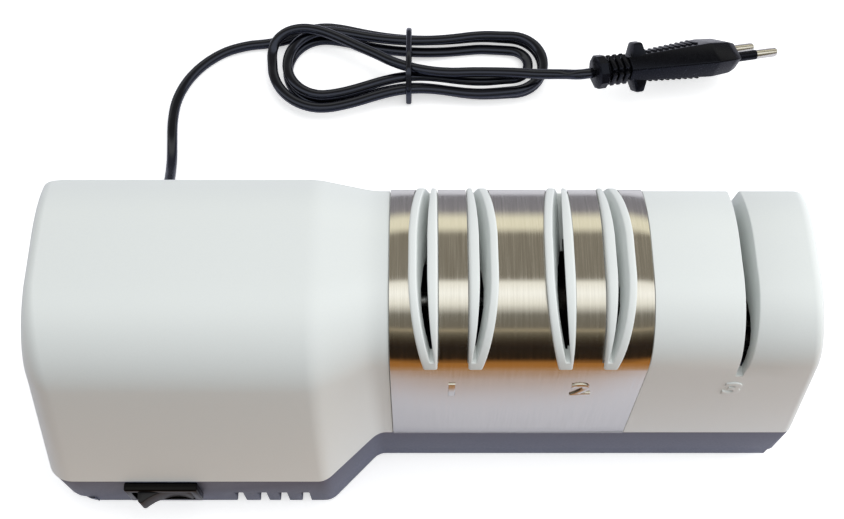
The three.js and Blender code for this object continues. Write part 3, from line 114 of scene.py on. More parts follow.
def hank_point(turns):
    """A point on the hank's middle line after that many turns, clockwise from its left end."""
    inset = STRAND_PITCH * (min(turns, 2 * HANK_REVERSE - turns) - HANK_START)
    share = turns % 1
    quarter = LOBE_SHARE / 2
    if share <= quarter or share >= 1 - quarter:
        lobe, way, share = LEFT_LOBE, -1, share - (share > quarter)
    elif abs(share - 0.5) <= quarter:
        lobe, way, share = RIGHT_LOBE, 1, share - 0.5
    else:
        lobe = None
        far = share < 0.5
        run = ((share if far else 1 - share) - quarter) / (0.5 - LOBE_SHARE)
        x, middle, half = (a + (b - a) * run for a, b in zip(LEFT_LOBE, RIGHT_LOBE))
        pinch = WAIST_PINCH * max(0, 1 - ((x - WAIST_X) / WAIST_REACH) ** 2) ** 2
        y = middle + (half - inset - pinch) * (1 if far else -1)
    if lobe:
        angle = pi / 2 * share / quarter
        x = lobe[0] + way * (lobe[2] - inset) * cos(angle)
        y = lobe[1] - way * (lobe[2] - inset) * sin(angle)
    climb = (turns - HANK_CLIMB[0]) / (HANK_CLIMB[1] - HANK_CLIMB[0])
    climb = min(max(climb, 0), 1)
    lift = TIE_LIFT * max(0, 1 - ((x - WAIST_X) / TIE_REACH) ** 2) ** 2
    return Vector((x, y, FIRST_LAYER + LAYER_PITCH * climb**2 * (3 - 2 * climb) + lift))


def smooth_route(points, step):
    """Points at an even step along one smooth curve through the given points."""
    dense = []
    last = len(points) - 1
    for k in range(last):
        near = [points[min(max(k + d, 0), last)] for d in (-1, 0, 1, 2)]
        knots = [0.0]
        for a, b in zip(near, near[1:]):
            knots.append(knots[-1] + max((b - a).length, 1e-4) ** 0.5)
        for j in range(8):
            t = knots[1] + (knots[2] - knots[1]) * j / 8
            legs = near
            for reach in (1, 2):
                shares = [(t - a) / (b - a) for a, b in zip(knots, knots[reach:])]
                legs = [a.lerp(b, by) for a, b, by in zip(legs, legs[1:], shares)]
            dense.append(legs[0].lerp(legs[1], j / 8))
    dense.append(points[-1])
    route, spare = [dense[0]], 0.0
    for a, b in zip(dense, dense[1:]):
        length = (b - a).length
        at = step - spare
        while at <= length:
            route.append(a.lerp(b, at / length))
            at += step
        spare = (spare + length) % step
    if (route[-1] - dense[-1]).length > step / 3:
        route.append(dense[-1])
    return route


def add_skin(bm, rows):
    """Adds a grid of faces laid over equal rows of points, and returns its rows of vertices."""
    count = len(rows[0])
    made = bmesh.ops.create_grid(bm, x_segments=count - 1, y_segments=len(rows) - 1, size=1)
    for k, vert in enumerate(made["verts"]):
        vert.co = rows[k // count][k % count]
    return [made["verts"][k * count : (k + 1) * count] for k in range(len(rows))]


def tube(rings, closed=False):
    """A bmesh of a skin over rings of points, closed round each ring, with flat ends or none."""
    bm = bmesh.new()
    rows = [[*ring, ring[0]] for ring in rings]
    add_skin(bm, rows + rows[:1] if closed else rows)
    bmesh.ops.remove_doubles(bm, verts=bm.verts, dist=0.001)
    if not closed:
        bmesh.ops.holes_fill(bm, edges=[e for e in bm.edges if e.is_boundary], sides=0)
    return bm


def turn_outward(bm):
    """Points every face of a closed bmesh outwards."""
    bm.normal_update()
    bmesh.ops.recalc_face_normals(bm, faces=bm.faces)
    if bm.calc_volume(signed=True) < 0:
        bmesh.ops.reverse_faces(bm, faces=bm.faces)


def finish(name, bm, material, replaces=(), sharp=35, body="housing", slot=None):
    """Makes a bmesh in millimetres a piece in metres that rides on a body, if there is one. Its
    faces are smooth, and its edges sharper than that angle stay sharp."""
    bmesh.ops.remove_doubles(bm, verts=bm.verts, dist=0.001)
    turn_outward(bm)
    for face in bm.faces:
        face.smooth = True
    for edge in bm.edges:
        edge.smooth = edge.calc_face_angle(0) < radians(sharp)
    mesh = bpy.data.meshes.new(name)
    bm.to_mesh(mesh)
    bm.free()
    mesh.transform(Matrix.Scale(0.001, 4))
    mesh.materials.append(material)
    piece = add_object(name, mesh)
    if body:
        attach(piece, body)
    if replaces:
        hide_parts(*replaces)
    return piece


def linear(colour):
    """An sRGB hex colour as linear red, green, blue and alpha."""
    channels = [int(colour[i : i + 2], 16) / 255 for i in (1, 3, 5)]
    return [c / 12.92 if c <= 0.04045 else ((c + 0.055) / 1.055) ** 2.4 for c in channels] + [1]


def add_node(tree, kind, links=(), **settings):
    """Adds a node with its settings. Links pair an input with a node, a socket or a value."""
    node = tree.nodes.new("ShaderNode" + kind)
    for key, value in settings.items():
        setattr(node, key, value)
    for target, source in links:
        if isinstance(source, bpy.types.Node):
            source = source.outputs[0]
        if isinstance(source, bpy.types.NodeSocket):
            tree.links.new(source, node.inputs[target])
        else:
            node.inputs[target].default_value = source
    return node


def new_material(name, slot, **sockets):
    """A material with one shader; its slot argument is not used. Returns it with its tree, its
    shader and its place on the object."""
    material = bpy.data.materials.new(name)
    material.use_nodes = True
    tree = material.node_tree
    tree.nodes.clear()
    shader = add_node(tree, "BsdfPrincipled")
    for socket, value in sockets.items():
        shader.inputs[socket.replace("_", " ")].default_value = value
    add_node(tree, "OutputMaterial", [("Surface", shader)])
    return material, tree, shader, add_node(tree, "TexCoord").outputs["Object"]


def patterned(tree, shader, pattern, colour, roughness, height=0.0):
    """Lets a pattern raise a surface by up to a height in mm. Of a pair of colours or of
    roughnesses, it draws one into the other."""
    if height:
        bump = add_node(tree, "Bump", [("Distance", height / 1000), ("Height", pattern)])
        tree.links.new(bump.outputs[0], shader.inputs["Normal"])
    if isinstance(colour, tuple):
        ends = [(0, pattern), *enumerate(map(linear, colour), 6)]
        drawn = add_node(tree, "Mix", ends, data_type="RGBA")
        tree.links.new(drawn.outputs[2], shader.inputs["Base Color"])
    else:
        shader.inputs["Base Color"].default_value = linear(colour)
    if isinstance(roughness, tuple):
        ends = [("From Min", 0.3), ("From Max", 0.7), *zip(("To Min", "To Max"), roughness)]
        drawn = add_node(tree, "MapRange", [("Value", pattern), *ends])
        tree.links.new(drawn.outputs[0], shader.inputs["Roughness"])
    else:
        shader.inputs["Roughness"].default_value = roughness


def grained(name, slot, colour, roughness, size, height, stretch=(1, 1, 1), detail=3.0, **more):
    """A material with a fine grain: noise of a size and a height in mm, with a smaller factor
    along each axis that it is stretched on."""
    material, tree, shader, place = new_material(name, slot, **more)
    laid = add_node(tree, "Mapping", [("Vector", place), ("Scale", stretch)])
    settings = [("Vector", laid), ("Scale", 1000 / size), ("Detail", detail)]
    noise = add_node(tree, "TexNoise", settings)
    patterned(tree, shader, noise.outputs["Fac"], colour, roughness, height)
    return material


# Soft PVC: the extruded sheath is smooth and keeps clear lines of light, the moulded parts are
# a deeper, satin black.
COOL_SHEEN = linear("#d2dcff")
sheath_pvc = grained(
    "smooth_black_pvc", "black_vinyl", "#050508", (0.14, 0.2), 2.5, 0.002,
    IOR=1.55, Specular_IOR_Level=0.6, Specular_Tint=COOL_SHEEN,
)
soft_pvc = grained(
    "soft_black_pvc", "black_vinyl", ("#060609", "#0a0a0d"), (0.22, 0.32), 1.2, 0.002,
    IOR=1.5, Specular_IOR_Level=0.2, Specular_Tint=COOL_SHEEN,
)

HANK_STEPS = 150
span = HANK_TURNS - HANK_START
hank_line = [hank_point(HANK_START + span * k / HANK_STEPS) for k in range(HANK_STEPS + 1)]
ends = [PLUG_TURN @ Vector((x, 0, 0)) for x in (-6, -0.2)]
route = smooth_route([Vector(p) for p in (*LEAD_POINTS, *hank_line, *TAIL_POINTS, *ends)], 1.6)


def oval(at, side, up, half_width, half_height, count, power=1.0):
    """A ring of points round a place. A power under 1 makes its ends and sides flatter."""
    ring = []
    for k in range(count):
        turn = 2 * pi * k / count
        wide = copysign(abs(cos(turn)) ** power, cos(turn)) * half_width
        high = copysign(abs(sin(turn)) ** power, sin(turn)) * half_height
        ring.append(at + side * wide + up * high)
    return ring


cord_rings = []
for k, at in enumerate(route):
    along = route[min(k + 1, len(route) - 1)] - route[max(k - 1, 0)]
    side = Vector((-along.y, along.x, 0)).normalized()
    up = side.cross(along).normalized()
    cord_rings.append(oval(at, side, up, CORD_WIDTH / 2, CORD_THICKNESS / 2, 16, 0.8))
bm = tube(cord_rings)
cord = finish("mains_cord", bm, sheath_pvc, ["cord_lead", "cord_hank", "cord_tail"], 60)

# Tie: a thin strip of the same PVC, drawn round every strand at the waist and over the tail. It
# is welded end to end, so it's modelled as one closed band with rounded corners.
TIE_CORNERS = [(126.9, 0.8), (161.4, 0.8), (161.6, 6), (158, 10.2), (142.6, 15.5)]
TIE_CORNERS += [(134.2, 15.5), (127, 10.2)]
TIE_BEND = 2.2
TIE_HALF_WIDTH = 1.15
TIE_HALF_THICKNESS = 0.6
corners = [Vector((WAIST_X, *corner)) for corner in TIE_CORNERS]
tie_line = []
for k, at in enumerate(corners):
    ways = (corners[k - 1] - at, corners[(k + 1) % len(corners)] - at)
    start, stop = (at + way.normalized() * min(TIE_BEND, way.length * 0.4) for way in ways)
    tie_line += [start.lerp(at, t).lerp(at.lerp(stop, t), t) for t in (0, 0.2, 0.4, 0.6, 0.8, 1)]
tie_rings = []
for k, at in enumerate(tie_line):
    along = (tie_line[(k + 1) % len(tie_line)] - tie_line[k - 1]).normalized()
    right = Vector((1, 0, 0))
    out = along.cross(right)
    tie_rings.append(oval(at, right, out, TIE_HALF_WIDTH, TIE_HALF_THICKNESS, 12))
bm = tube(tie_rings, closed=True)
tie = finish("cord_tie_strip", bm, sheath_pvc, ["cord_tie"], 60)

# Plug: a two-pin plug moulded on the lead in the same PVC. Collar, slotted relief, finger wings
# and faceted grip are one moulding, with grip ribs on its two broad faces.
COLLAR_LENGTH = 5.4
PLUG_RELIEF_LENGTH = 9
GRIP_START = COLLAR_LENGTH + PLUG_RELIEF_LENGTH
GRIP_LENGTH = 45
GRIP_END = GRIP_START + GRIP_LENGTH
GRIP_WIDEST = GRIP_START + GRIP_LENGTH * 0.76
WING_X = GRIP_START + 4.3


def spun(profile, steps):
    """A bmesh of a profile of places along X and radii, spun round the X axis."""
    bm = bmesh.new()
    verts = [bm.verts.new((x, radius, 0)) for x, radius in profile]
    geom = verts + [bm.edges.new(pair) for pair in zip(verts, verts[1:])]
    bmesh.ops.spin(bm, geom=geom, axis=(1, 0, 0), angle=2 * pi, steps=steps, use_merge=True)
    bmesh.ops.remove_doubles(bm, verts=bm.verts, dist=0.001)
    turn_outward(bm)
    return bm


def round_edges(bm, edges, width, segments):
    bmesh.ops.bevel(
        bm, geom=edges, offset=width, segments=segments, profile=0.5, affect="EDGES", material=-1
    )


def block(low, high, width=0, segments=3, turn=None):
    """A bmesh of a box between two corners, with rounded edges, turned if a matrix is given."""
    size = [b - a for a, b in zip(low, high)]
    middle = [(a + b) / 2 for a, b in zip(low, high)]
    matrix = Matrix.Translation(middle) @ Matrix.Diagonal((*size, 1))
    bm = bmesh.new()
    bmesh.ops.create_cube(bm, size=1, matrix=(turn @ matrix) if turn else matrix)
    if width:
        round_edges(bm, bm.edges[:], width, segments)
    turn_outward(bm)
    return bm


def round_sharp(bm, angle, width, segments):
    """Rounds the edges of a bmesh that are sharper than an angle in radians."""
    round_edges(bm, [e for e in bm.edges if e.calc_face_angle(0) > angle], width, segments)


def add_part(bm, part):
    """Adds another bmesh, which it uses up, as it stands."""
    mesh = bpy.data.meshes.new("part")
    part.to_mesh(mesh)
    part.free()
    bm.from_mesh(mesh)
    bpy.data.meshes.remove(mesh)


bm = spun([(0.3, 0), (0.3, 5.6), (1, 6.9), (4.1, 6.9), (4.8, 6.2), (4.8, 4), (4.8, 0)], 10)
add_part(bm, spun([(4, 0), (4, 4.3), (GRIP_START + 1, 4.3), (GRIP_START + 1, 0)], 28))
for k in range(3):
    x = COLLAR_LENGTH + 0.7 + 2.75 * k
    for angle in (45, 135, 225, 315):
        turn = Matrix.Rotation(radians(angle), 4, "X")
        add_part(bm, block((x, -3.4, 3.2), (x + 1.9, 3.4, 5.4), 0.45, 2, turn))
wing_rings = []
half_sizes = ((10.1, 1.3, 2.4), (9.6, 1.8, 3), (5, 3, 4))
for z, length, width in [(-z, *half) for z, *half in half_sizes] + [*half_sizes[::-1]]:
    corners = [(-1, -1), (1, -1), (1, 1), (-1, 1)]
    wing_rings.append([Vector((WING_X + a * length, b * width, z)) for a, b in corners])
wings = tube(wing_rings)
round_sharp(wings, 0.6, 0.4, 2)
add_part(bm, wings)
grip_rings = []
for x, half, thick in (
    (GRIP_START, 6.5, 5),
    (GRIP_WIDEST, 15.5, 6.9),
    (GRIP_END - 3.2, 14.9, 6.3),
    (GRIP_END, 13, 5.2),
):
    outline = [(-half, 0), (-half / 2, -thick), (half / 2, -thick)]
    outline += [(-y, -z) for y, z in outline]
    grip_rings.append([Vector((x, y, z)) for y, z in outline])
grip = tube(grip_rings)
round_sharp(grip, 0.1, 0.6, 3)
add_part(bm, grip)
for side in (1, -1):
    for k in range(9):
        share = (8.5 + 2.5 * k) / (GRIP_LENGTH * 0.7)
        x = GRIP_START + 8.5 + 2.5 * k
        half = 2.6 + 2.4 * share
        low, high = (side * (5 + 1.9 * share) + rise for rise in (-0.7, 0.7))
        add_part(bm, block((x, -half, low), (x + 1.3, half, high), 0.35, 2))
bm.transform(PLUG_TURN)
plug = finish("plug_moulding", bm, soft_pvc, ["plug_body"], 30)

# Plug pins: turned brass with bright nickel plating, each with a black sleeve at its root.
# Nickel: bright, with the faintest scuff, so that it mirrors the paper.
nickel = grained(
    "nickel_plated_brass", "bright_steel", "#d6d3cc", (0.18, 0.22), 3.0, 0.0005, Metallic=1.0
)
PIN_SPREAD = 9.3
PIN_RADIUS = 2
SLEEVE_LENGTH = 7.8
PIN_LENGTH = 17.6
for name, side in (("upper", 1), ("lower", -1)):
    seat = PLUG_TURN @ Matrix.Translation((GRIP_END + 0.2, side * PIN_SPREAD, 0))
    tip = [(SLEEVE_LENGTH - 0.4, 0), (SLEEVE_LENGTH - 0.4, 1.9), (PIN_LENGTH - 1.4, 1.9)]
    tip += [(PIN_LENGTH - 0.7, 1.6), (PIN_LENGTH - 0.3, 0.9), (PIN_LENGTH - 0.2, 0)]
    bm = spun(tip, 24)
    bm.transform(seat)
    finish("pin_tip_" + name, bm, nickel, ["plug_pin_" + name])
    sleeve = [(0, 0), (0, PIN_RADIUS), (SLEEVE_LENGTH - 0.2, PIN_RADIUS)]
    bm = spun(sleeve + [(SLEEVE_LENGTH, 1.85), (SLEEVE_LENGTH, 0)], 24)
    bm.transform(seat)
    finish("pin_sleeve_" + name, bm, soft_pvc)

# Strain relief: a tapered PVC sleeve with cross slots, moulded on the lead. Its neck sits in the
# back wall and its flange bears on the wall's outside.
RELIEF_INSIDE = 43.5
RELIEF_WALL = 46.6
profile = [(RELIEF_INSIDE, 0), (RELIEF_INSIDE, 4.6), (RELIEF_WALL, 4.6), (RELIEF_WALL, 6.6)]
profile += [(47, 7), (48.2, 7), (48.6, 6.6), (48.6, 4)]
for k in range(7):
    x = 49.3 + 2.4 * k
    radius = 4.6 - 0.17 * k
    profile += [(x, radius - 0.9), (x + 0.2, radius - 0.1), (x + 0.5, radius)]
    profile += [(x + 1.2, radius), (x + 1.5, radius - 0.1), (x + 1.7, radius - 0.9)]
profile += [(67, 2.9), (67.3, 3.3), (RELIEF_END - 0.1, 3.1), (RELIEF_END, 0)]
bm = spun(profile, 28)
bm.transform(Matrix.Translation((RELIEF_X, 0, RELIEF_Z)) @ Matrix.Rotation(pi / 2, 4, "Z"))
relief = finish("relief_sleeve", bm, soft_pvc, ["cord_strain_relief"], 30)

# Upper housing: one white ABS moulding, a deep motor end on the left and a lower, set-back
# sharpening end on the right, joined by a slanted step. Walls are 2.5 mm, with a shallow recess
# for the steel cover and a narrow hand slot near the right end.
HALF_LENGTH = 127
PARTING = 29
WALL = 2.5
CROWN_RADIUS = 36
CROWN_SWEEP = radians(36)
BACK_LEAN = radians(6)
BACK_EDGE = 4
STEP_START = -35
STEP_END = -12.5
STEP_EASE = 0.22
COVER_X = (-9.8, 68.8)
COVER_RECESS = 0.5
COVER_GAP = 0.3


def body_section(front, back, crest, lean, radius):
    """The body's section from the front foot over the top to the back foot: rows of place,
    inward direction, share of the top edge's radius, and share of the way to the back."""
    spots = []

    def arc(y, z, size, steps, *spans):
        for k in range(1, steps + 1):
            angle, top, rear = (a + (b - a) * (k / steps) for a, b in spans)
            out = Vector((0, cos(angle), sin(angle)))
            spots.append((Vector((0, y, z)) + out * size, -out, top, rear))

    def straight(to, inward, rear, steps):
        first = spots[-1][0] if spots else Vector((0, front, PARTING))
        for k in range(0 if not spots else 1, steps + 1):
            spots.append((first.lerp(to, k / steps), inward, 0, rear))

    front_z = crest - radius
    front_y = front + (front_z - PARTING) * tan(lean) + radius / cos(lean)
    inward = Vector((0, cos(lean), -sin(lean)))
    straight(Vector((0, front_y, front_z)) - inward * radius, inward, 0, 8)
    arc(front_y, front_z, radius, 22, (pi - lean, pi / 2), (0, 1), (0, 0))
    crown = CROWN_RADIUS - BACK_EDGE
    drop = CROWN_RADIUS - crown * cos(CROWN_SWEEP) - BACK_EDGE * sin(BACK_LEAN)
    edge_y = back - (crest - drop - PARTING) * tan(BACK_LEAN) - BACK_EDGE * cos(BACK_LEAN)
    edge_z = crest - CROWN_RADIUS + crown * cos(CROWN_SWEEP)
    crown_y = edge_y - crown * sin(CROWN_SWEEP)
    sweep_end = pi / 2 - CROWN_SWEEP
    crown_z = crest - CROWN_RADIUS
    arc(crown_y, crown_z, CROWN_RADIUS, 12, (pi / 2, sweep_end), (1, 1), (0, 1))
    arc(edge_y, edge_z, BACK_EDGE, 10, (sweep_end, BACK_LEAN), (1, 0), (1, 1))
    inward = Vector((0, -cos(BACK_LEAN), -sin(BACK_LEAN)))
    straight(Vector((0, back, PARTING)), inward, 1, 7)
    return spots


MOTOR_SECTION = body_section(-39.88, 46.32, 105.2, radians(13), 28)
RIGHT_FRONT = -22.68
RIGHT_LEAN = radians(4.2)
RIGHT_SECTION = body_section(RIGHT_FRONT, 43.32, 102.8, RIGHT_LEAN, 22.6)
# At each end: its lean, and the radii of its front corner and of its top edge.
ENDS = {-1: (radians(6.9), 9, 3.5), 1: (radians(5.9), 3, 3.5)}


def body_ring(inset, x=None, end=0, turn=0.0, rear=None):
    """One ring of the body's form, moved in by inset: straight across at x, or at a turn
    round the edge of an end."""
    rear = inset if rear is None else rear
    share = min(max(((x or 0) - STEP_START) / (STEP_END - STEP_START), 0), 1)
    slope = 1 / (1 - STEP_EASE)
    if end:
        mix = max(end, 0)
    elif share < STEP_EASE:
        mix = slope * share**2 / (2 * STEP_EASE)
    elif share > 1 - STEP_EASE:
        mix = 1 - slope * (1 - share) ** 2 / (2 * STEP_EASE)
    else:
        mix = slope * (share - STEP_EASE / 2)
    ring = []
    for motor, right in zip(MOTOR_SECTION, RIGHT_SECTION):
        spots = []
        for place, inward, top, back in (motor, right):
            radius = 0
            if end:
                lean, corner, top_radius = ENDS[end]
                radius = corner + (top_radius - corner) * top
                radius = max(radius - inset, 0.3) if inset > 0 else radius
            by = inset + (rear - inset) * back + radius * (1 - cos(turn))
            spots.append(place + inward * by)
        spot = spots[0].lerp(spots[1], mix)
        if end:
            wall = HALF_LENGTH - inset / cos(lean) - (spot.z - PARTING) * tan(lean)
            spot.x = end * (wall - radius * (1 - sin(turn)))
        else:
            spot.x = x
        ring.append(spot)
    return ring


def end_rings(inset, end):
    """The rings round one end's edge, from left to right."""
    rings = [body_ring(inset, end=end, turn=pi / 20 * k) for k in range(11)]
    return rings if end > 0 else rings[::-1]


STEP_RINGS = 26
span = STEP_END - STEP_START
step_places = [STEP_START + span * k / STEP_RINGS for k in range(STEP_RINGS + 1)]
recess = (COVER_X[0] - COVER_GAP, COVER_X[1] + COVER_GAP)
edge = 0.12


def shell_rings(inset, recessed):
    rings = end_rings(inset, -1) + [body_ring(inset, x) for x in (-60, *step_places)]
    rings += [body_ring(inset, recess[0]), body_ring(inset + recessed, recess[0] + edge)]
    rings += [body_ring(inset + recessed, recess[1] - edge), body_ring(inset, recess[1])]
    return rings + end_rings(inset, 1)


def closed_shell(outer, inner):
    """A bmesh of two skins, one inside the other and joined at their rims. Long ones have caps
    over their ends."""
    bm = bmesh.new()
    capped = len(outer) > 4
    for rings in (outer, inner):
        rows = add_skin(bm, rings)
        if capped:
            caps = [bm.faces.new(rows[0]), bm.faces.new(rows[-1])]
            turn_outward(bm)
            bmesh.ops.inset_individual(bm, faces=caps, thickness=0.6)
    bmesh.ops.bridge_loops(bm, edges=[e for e in bm.edges if e.is_boundary])
    turn_outward(bm)
    return bm


def outline_block(points, axis, span):
    """A closed block in a bmesh: an outline pushed along an axis. Its points are (y, z) for X,
    (x, z) for Y and (x, y) for Z."""
    bm = bmesh.new()
    along = "XYZ".index(axis)
    places = [[*pair[:along], span[0], *pair[along:]] for pair in points]
    face = bm.faces.new([bm.verts.new(place) for place in places])
    made = bmesh.ops.extrude_face_region(bm, geom=[face])["geom"]
    push = Vector()
    push[along] = span[1] - span[0]
    far = [v for v in made if isinstance(v, bmesh.types.BMVert)]
    bmesh.ops.translate(bm, verts=far, vec=push)
    turn_outward(bm)
    return bm


def carved(bm, cuts, joined=()):
    """The bmesh after others are joined to it and others are cut from it. It uses them all up."""
    made = []
    for source in (bm, *joined, *cuts):
        mesh = bpy.data.meshes.new("carving")
        source.to_mesh(mesh)
        source.free()
        made.append(add_object("carving", mesh))
    for k, cutter in enumerate(made[1:]):
        modifier = made[0].modifiers.new("carving", "BOOLEAN")
        modifier.operation = "UNION" if k < len(joined) else "DIFFERENCE"
        modifier.object = cutter
        modifier.solver = "MANIFOLD"
    bpy.context.view_layer.update()
    whole = made[0].evaluated_get(bpy.context.evaluated_depsgraph_get())
    result = bmesh.new()
    result.from_mesh(whole.to_mesh())
    whole.to_mesh_clear()
    for piece in made:
        mesh = piece.data
        bpy.data.objects.remove(piece)
        bpy.data.meshes.remove(mesh)
    return result


def round_rims(bm, low, span):
    """Rounds the sharp edges where walls across X meet the outer skin, above a height."""
    bm.normal_update()
    rims = []
    for edge in bm.edges:
        if edge.calc_face_angle(0) < 0.9 or min(v.co.z for v in edge.verts) < low:
            continue
        wall, skin = sorted(edge.link_faces, key=lambda face: -abs(face.normal.x))
        at = (edge.verts[0].co + edge.verts[1].co) / 2
        out = Vector((0, at.y - 10, at.z - 70)).normalized()
        if span[0] < at.x < span[1] and abs(wall.normal.x) > 0.9 and skin.normal.dot(out) > 0.5:
            rims.append(edge)
    round_edges(bm, rims, RIM_ROUND, 3)


# The hand slot narrows downwards between two guide walls, over a window to the rollers.
HAND_SLOT_X = 97.8
HAND_SLOT = ((1.2, 77), (2.1, 102.8))
HAND_GUIDE_HALF = 4.2
HAND_GUIDE_FOOT = 75
HAND_WINDOW = [(-16, 70), (-15.7, 77), (-14.9, 81), (-12.5, 87), (-9, 89.9), (-5, 90.7)]
HAND_WINDOW += [(-0.6, 90), (4, 88), (18.5, 80.2), (18.5, 70)]
RIM_ROUND = 0.35
# Spans for cuts that pass right through the body and out of its top.
THROUGH = (-80, 80)
OPEN_TOP = 112
STAGE_X = (9.3, 50)
# The four slots: names and middle of the stage, name and side of the slot.
SEATS = [
    (stage, centre, hand, side)
    for stage, centre in zip(("one", "two"), STAGE_X)
    for hand, side in (("left", -1), ("right", 1))
]
LIP_TOP = 105.6
LIP_FOOT = 87
LIP_INNER = 4.65
LIP_OUTER = 13.6
LIP_LEAN = tan(radians(14))


def lip_outer(z, grow=0.0):
    """How far a lip's outer face stands from the middle of its stage at a height."""
    return LIP_OUTER + grow - (LIP_TOP - z) * LIP_LEAN


def lip_cuts(grow):
    """Blocks to cut away, each of which holds all of one lip."""
    low, high = LIP_FOOT - grow, LIP_TOP + 10
    blocks = []
    for stage, centre, hand, side in SEATS:
        inner = centre + side * (LIP_INNER - grow)
        points = [(inner, low), (centre + side * lip_outer(low, grow), low)]
        points += [(centre + side * lip_outer(high, grow), high), (inner, high)]
        blocks.append(outline_block(points, "Y", THROUGH))
    return blocks


guide_ring = [(p.y, p.z) for p in body_ring(1.2, HAND_SLOT_X) if p.z > HAND_GUIDE_FOOT + 1]
feet = [(guide_ring[k][0], HAND_GUIDE_FOOT) for k in (0, -1)]
guide_ring = [feet[0], *guide_ring, feet[1]]
guide_span = (HAND_SLOT_X - HAND_GUIDE_HALF, HAND_SLOT_X + HAND_GUIDE_HALF)
(low_half, low_z), (high_half, high_z) = HAND_SLOT
top_half = low_half + (high_half - low_half) * (OPEN_TOP - low_z) / (high_z - low_z)
slot_points = [(HAND_SLOT_X - low_half, low_z), (HAND_SLOT_X + low_half, low_z)]
slot_points += [(HAND_SLOT_X + top_half, OPEN_TOP), (HAND_SLOT_X - top_half, OPEN_TOP)]

bm = closed_shell(shell_rings(0, COVER_RECESS), shell_rings(WALL, 0))
guides = outline_block(guide_ring, "X", guide_span)
slot = outline_block(slot_points, "Y", THROUGH)
window = outline_block(HAND_WINDOW, "X", (HAND_SLOT_X - 9, HAND_SLOT_X + 9))
bm = carved(bm, [slot, window, *lip_cuts(-0.3)], [guides])
round_rims(bm, 78, guide_span)
# White ABS: satin, with a moulded grain too fine to see that softens its highlights.
white_abs = grained(
    "white_moulded_abs", "white_plastic", ("#e1e5e3", "#e5e9e7"), (0.36, 0.46), 0.5, 0.006,
    IOR=1.54,
)
finish("white_shell", bm, white_abs, ["upper_housing"], 30)

# Slot lips: four leaning knife slots, in mirrored pairs. Each stands in a raised rim moulded
# with the housing, which follows the body's curve through a cut-out in the steel cover.
LIP_HEIGHT = 2.8
LIP_REAR_HEIGHT = 0.9
SLOT_FLOOR = 90
MOUTH_INNER = (7.8, tan(radians(8.2)))
MOUTH_OUTER = (11.1, tan(radians(15)))
MOUTH_MIDDLE = (9.45, tan(radians(11.6)))
# Windows (y, z) through which each mouth is open to its disk, in its outer and its inner wall.
OUTER_WINDOWS = {
    "left": [(-17.4, 74), (-16.8, 84), (-14.8, 90.6), (-10.6, 96.2), (-6.2, 99.4)]
    + [(0.3, 100.3), (8.3, 97.6), (17, 91.4), (20, 84), (21, 74)],
    "right": [(-17, 74), (-16.4, 84), (-15.1, 88.7), (-13, 91), (-9.3, 94.6)]
    + [(-5, 97.7), (1, 98.6), (6.6, 96.7), (10.9, 94.3), (16, 90), (20, 84), (21, 74)],
}
INNER_WINDOW = [(-17, 74), (-16.4, 84), (-14, 90), (-9, 95), (-2, 98.2), (6, 98.4), (14, 96)]
INNER_WINDOW += [(20, 92), (24, 87), (26, 80), (27, 74)]


def above(ring, height):
    """The part of a ring of points above a height, with its two ends on that height."""
    points = [(p.y, p.z) for p in ring]
    kept = []
    for (y0, z0), (y1, z1) in zip(points, points[1:]):
        if (z0 - height) * (z1 - height) < 0:
            share = (height - z0) / (z1 - z0)
            kept.append((y0 + (y1 - y0) * share, height))
        if z1 > height:
            kept.append((y1, z1))
    return kept


def leaning(points, centre, side, far):
    """A block of an outline, from the leaning middle of a mouth to far from its stage."""
    bm = outline_block(points, "X", (0, 1))
    for vert in bm.verts:
        out = MOUTH_MIDDLE[0] - (LIP_TOP - vert.co.z) * MOUTH_MIDDLE[1]
        vert.co.x = centre + side * (far if vert.co.x > 0.5 else out)
    turn_outward(bm)
    return bm


lip_line = above(body_ring(-LIP_HEIGHT, 30, rear=-LIP_REAR_HEIGHT), LIP_FOOT)
for stage, centre, hand, side in SEATS:
    bm = outline_block(lip_line, "X", (0, 1))
    for vert in bm.verts:
        out = lip_outer(vert.co.z) if vert.co.x > 0.5 else LIP_INNER
        vert.co.x = centre + side * out
    turn_outward(bm)
    round_sharp(bm, 0.8, 0.8, 4)
    corners = [(SLOT_FLOOR, *MOUTH_INNER), (SLOT_FLOOR, *MOUTH_OUTER)]
    corners += [(OPEN_TOP, *MOUTH_OUTER), (OPEN_TOP, *MOUTH_INNER)]
    mouth = [(centre + side * (out - (LIP_TOP - z) * lean), z) for z, out, lean in corners]
    windows = ((OUTER_WINDOWS[hand], 20), (INNER_WINDOW, 0))
    cuts = [leaning(points, centre, side, far) for points, far in windows]
    bm = carved(bm, [outline_block(mouth, "Y", THROUGH), *cuts])
    round_rims(bm, SLOT_FLOOR + 0.2, (-40, 90))
    finish(f"slot_lips_{stage}_{hand}", bm, white_abs, sharp=30)

# Cover: one folded sheet of stainless steel over the middle of the sharpening end, brushed from
# front to back, with a cut-out round each pair of lips.
SHEET = 0.6
STAND_PROUD = 0.4
cover_skins = []
for inset in (-STAND_PROUD, SHEET - STAND_PROUD):
    rings = [body_ring(inset, x) for x in (COVER_X[0], 20, 40, COVER_X[1])]
    for ring in rings:
        ring[0].z = ring[-1].z = PARTING + COVER_GAP
    cover_skins.append(rings)
bm = closed_shell(*cover_skins)
round_sharp(bm, 1, 0.12, 2)
bm = carved(bm, lip_cuts(COVER_GAP))
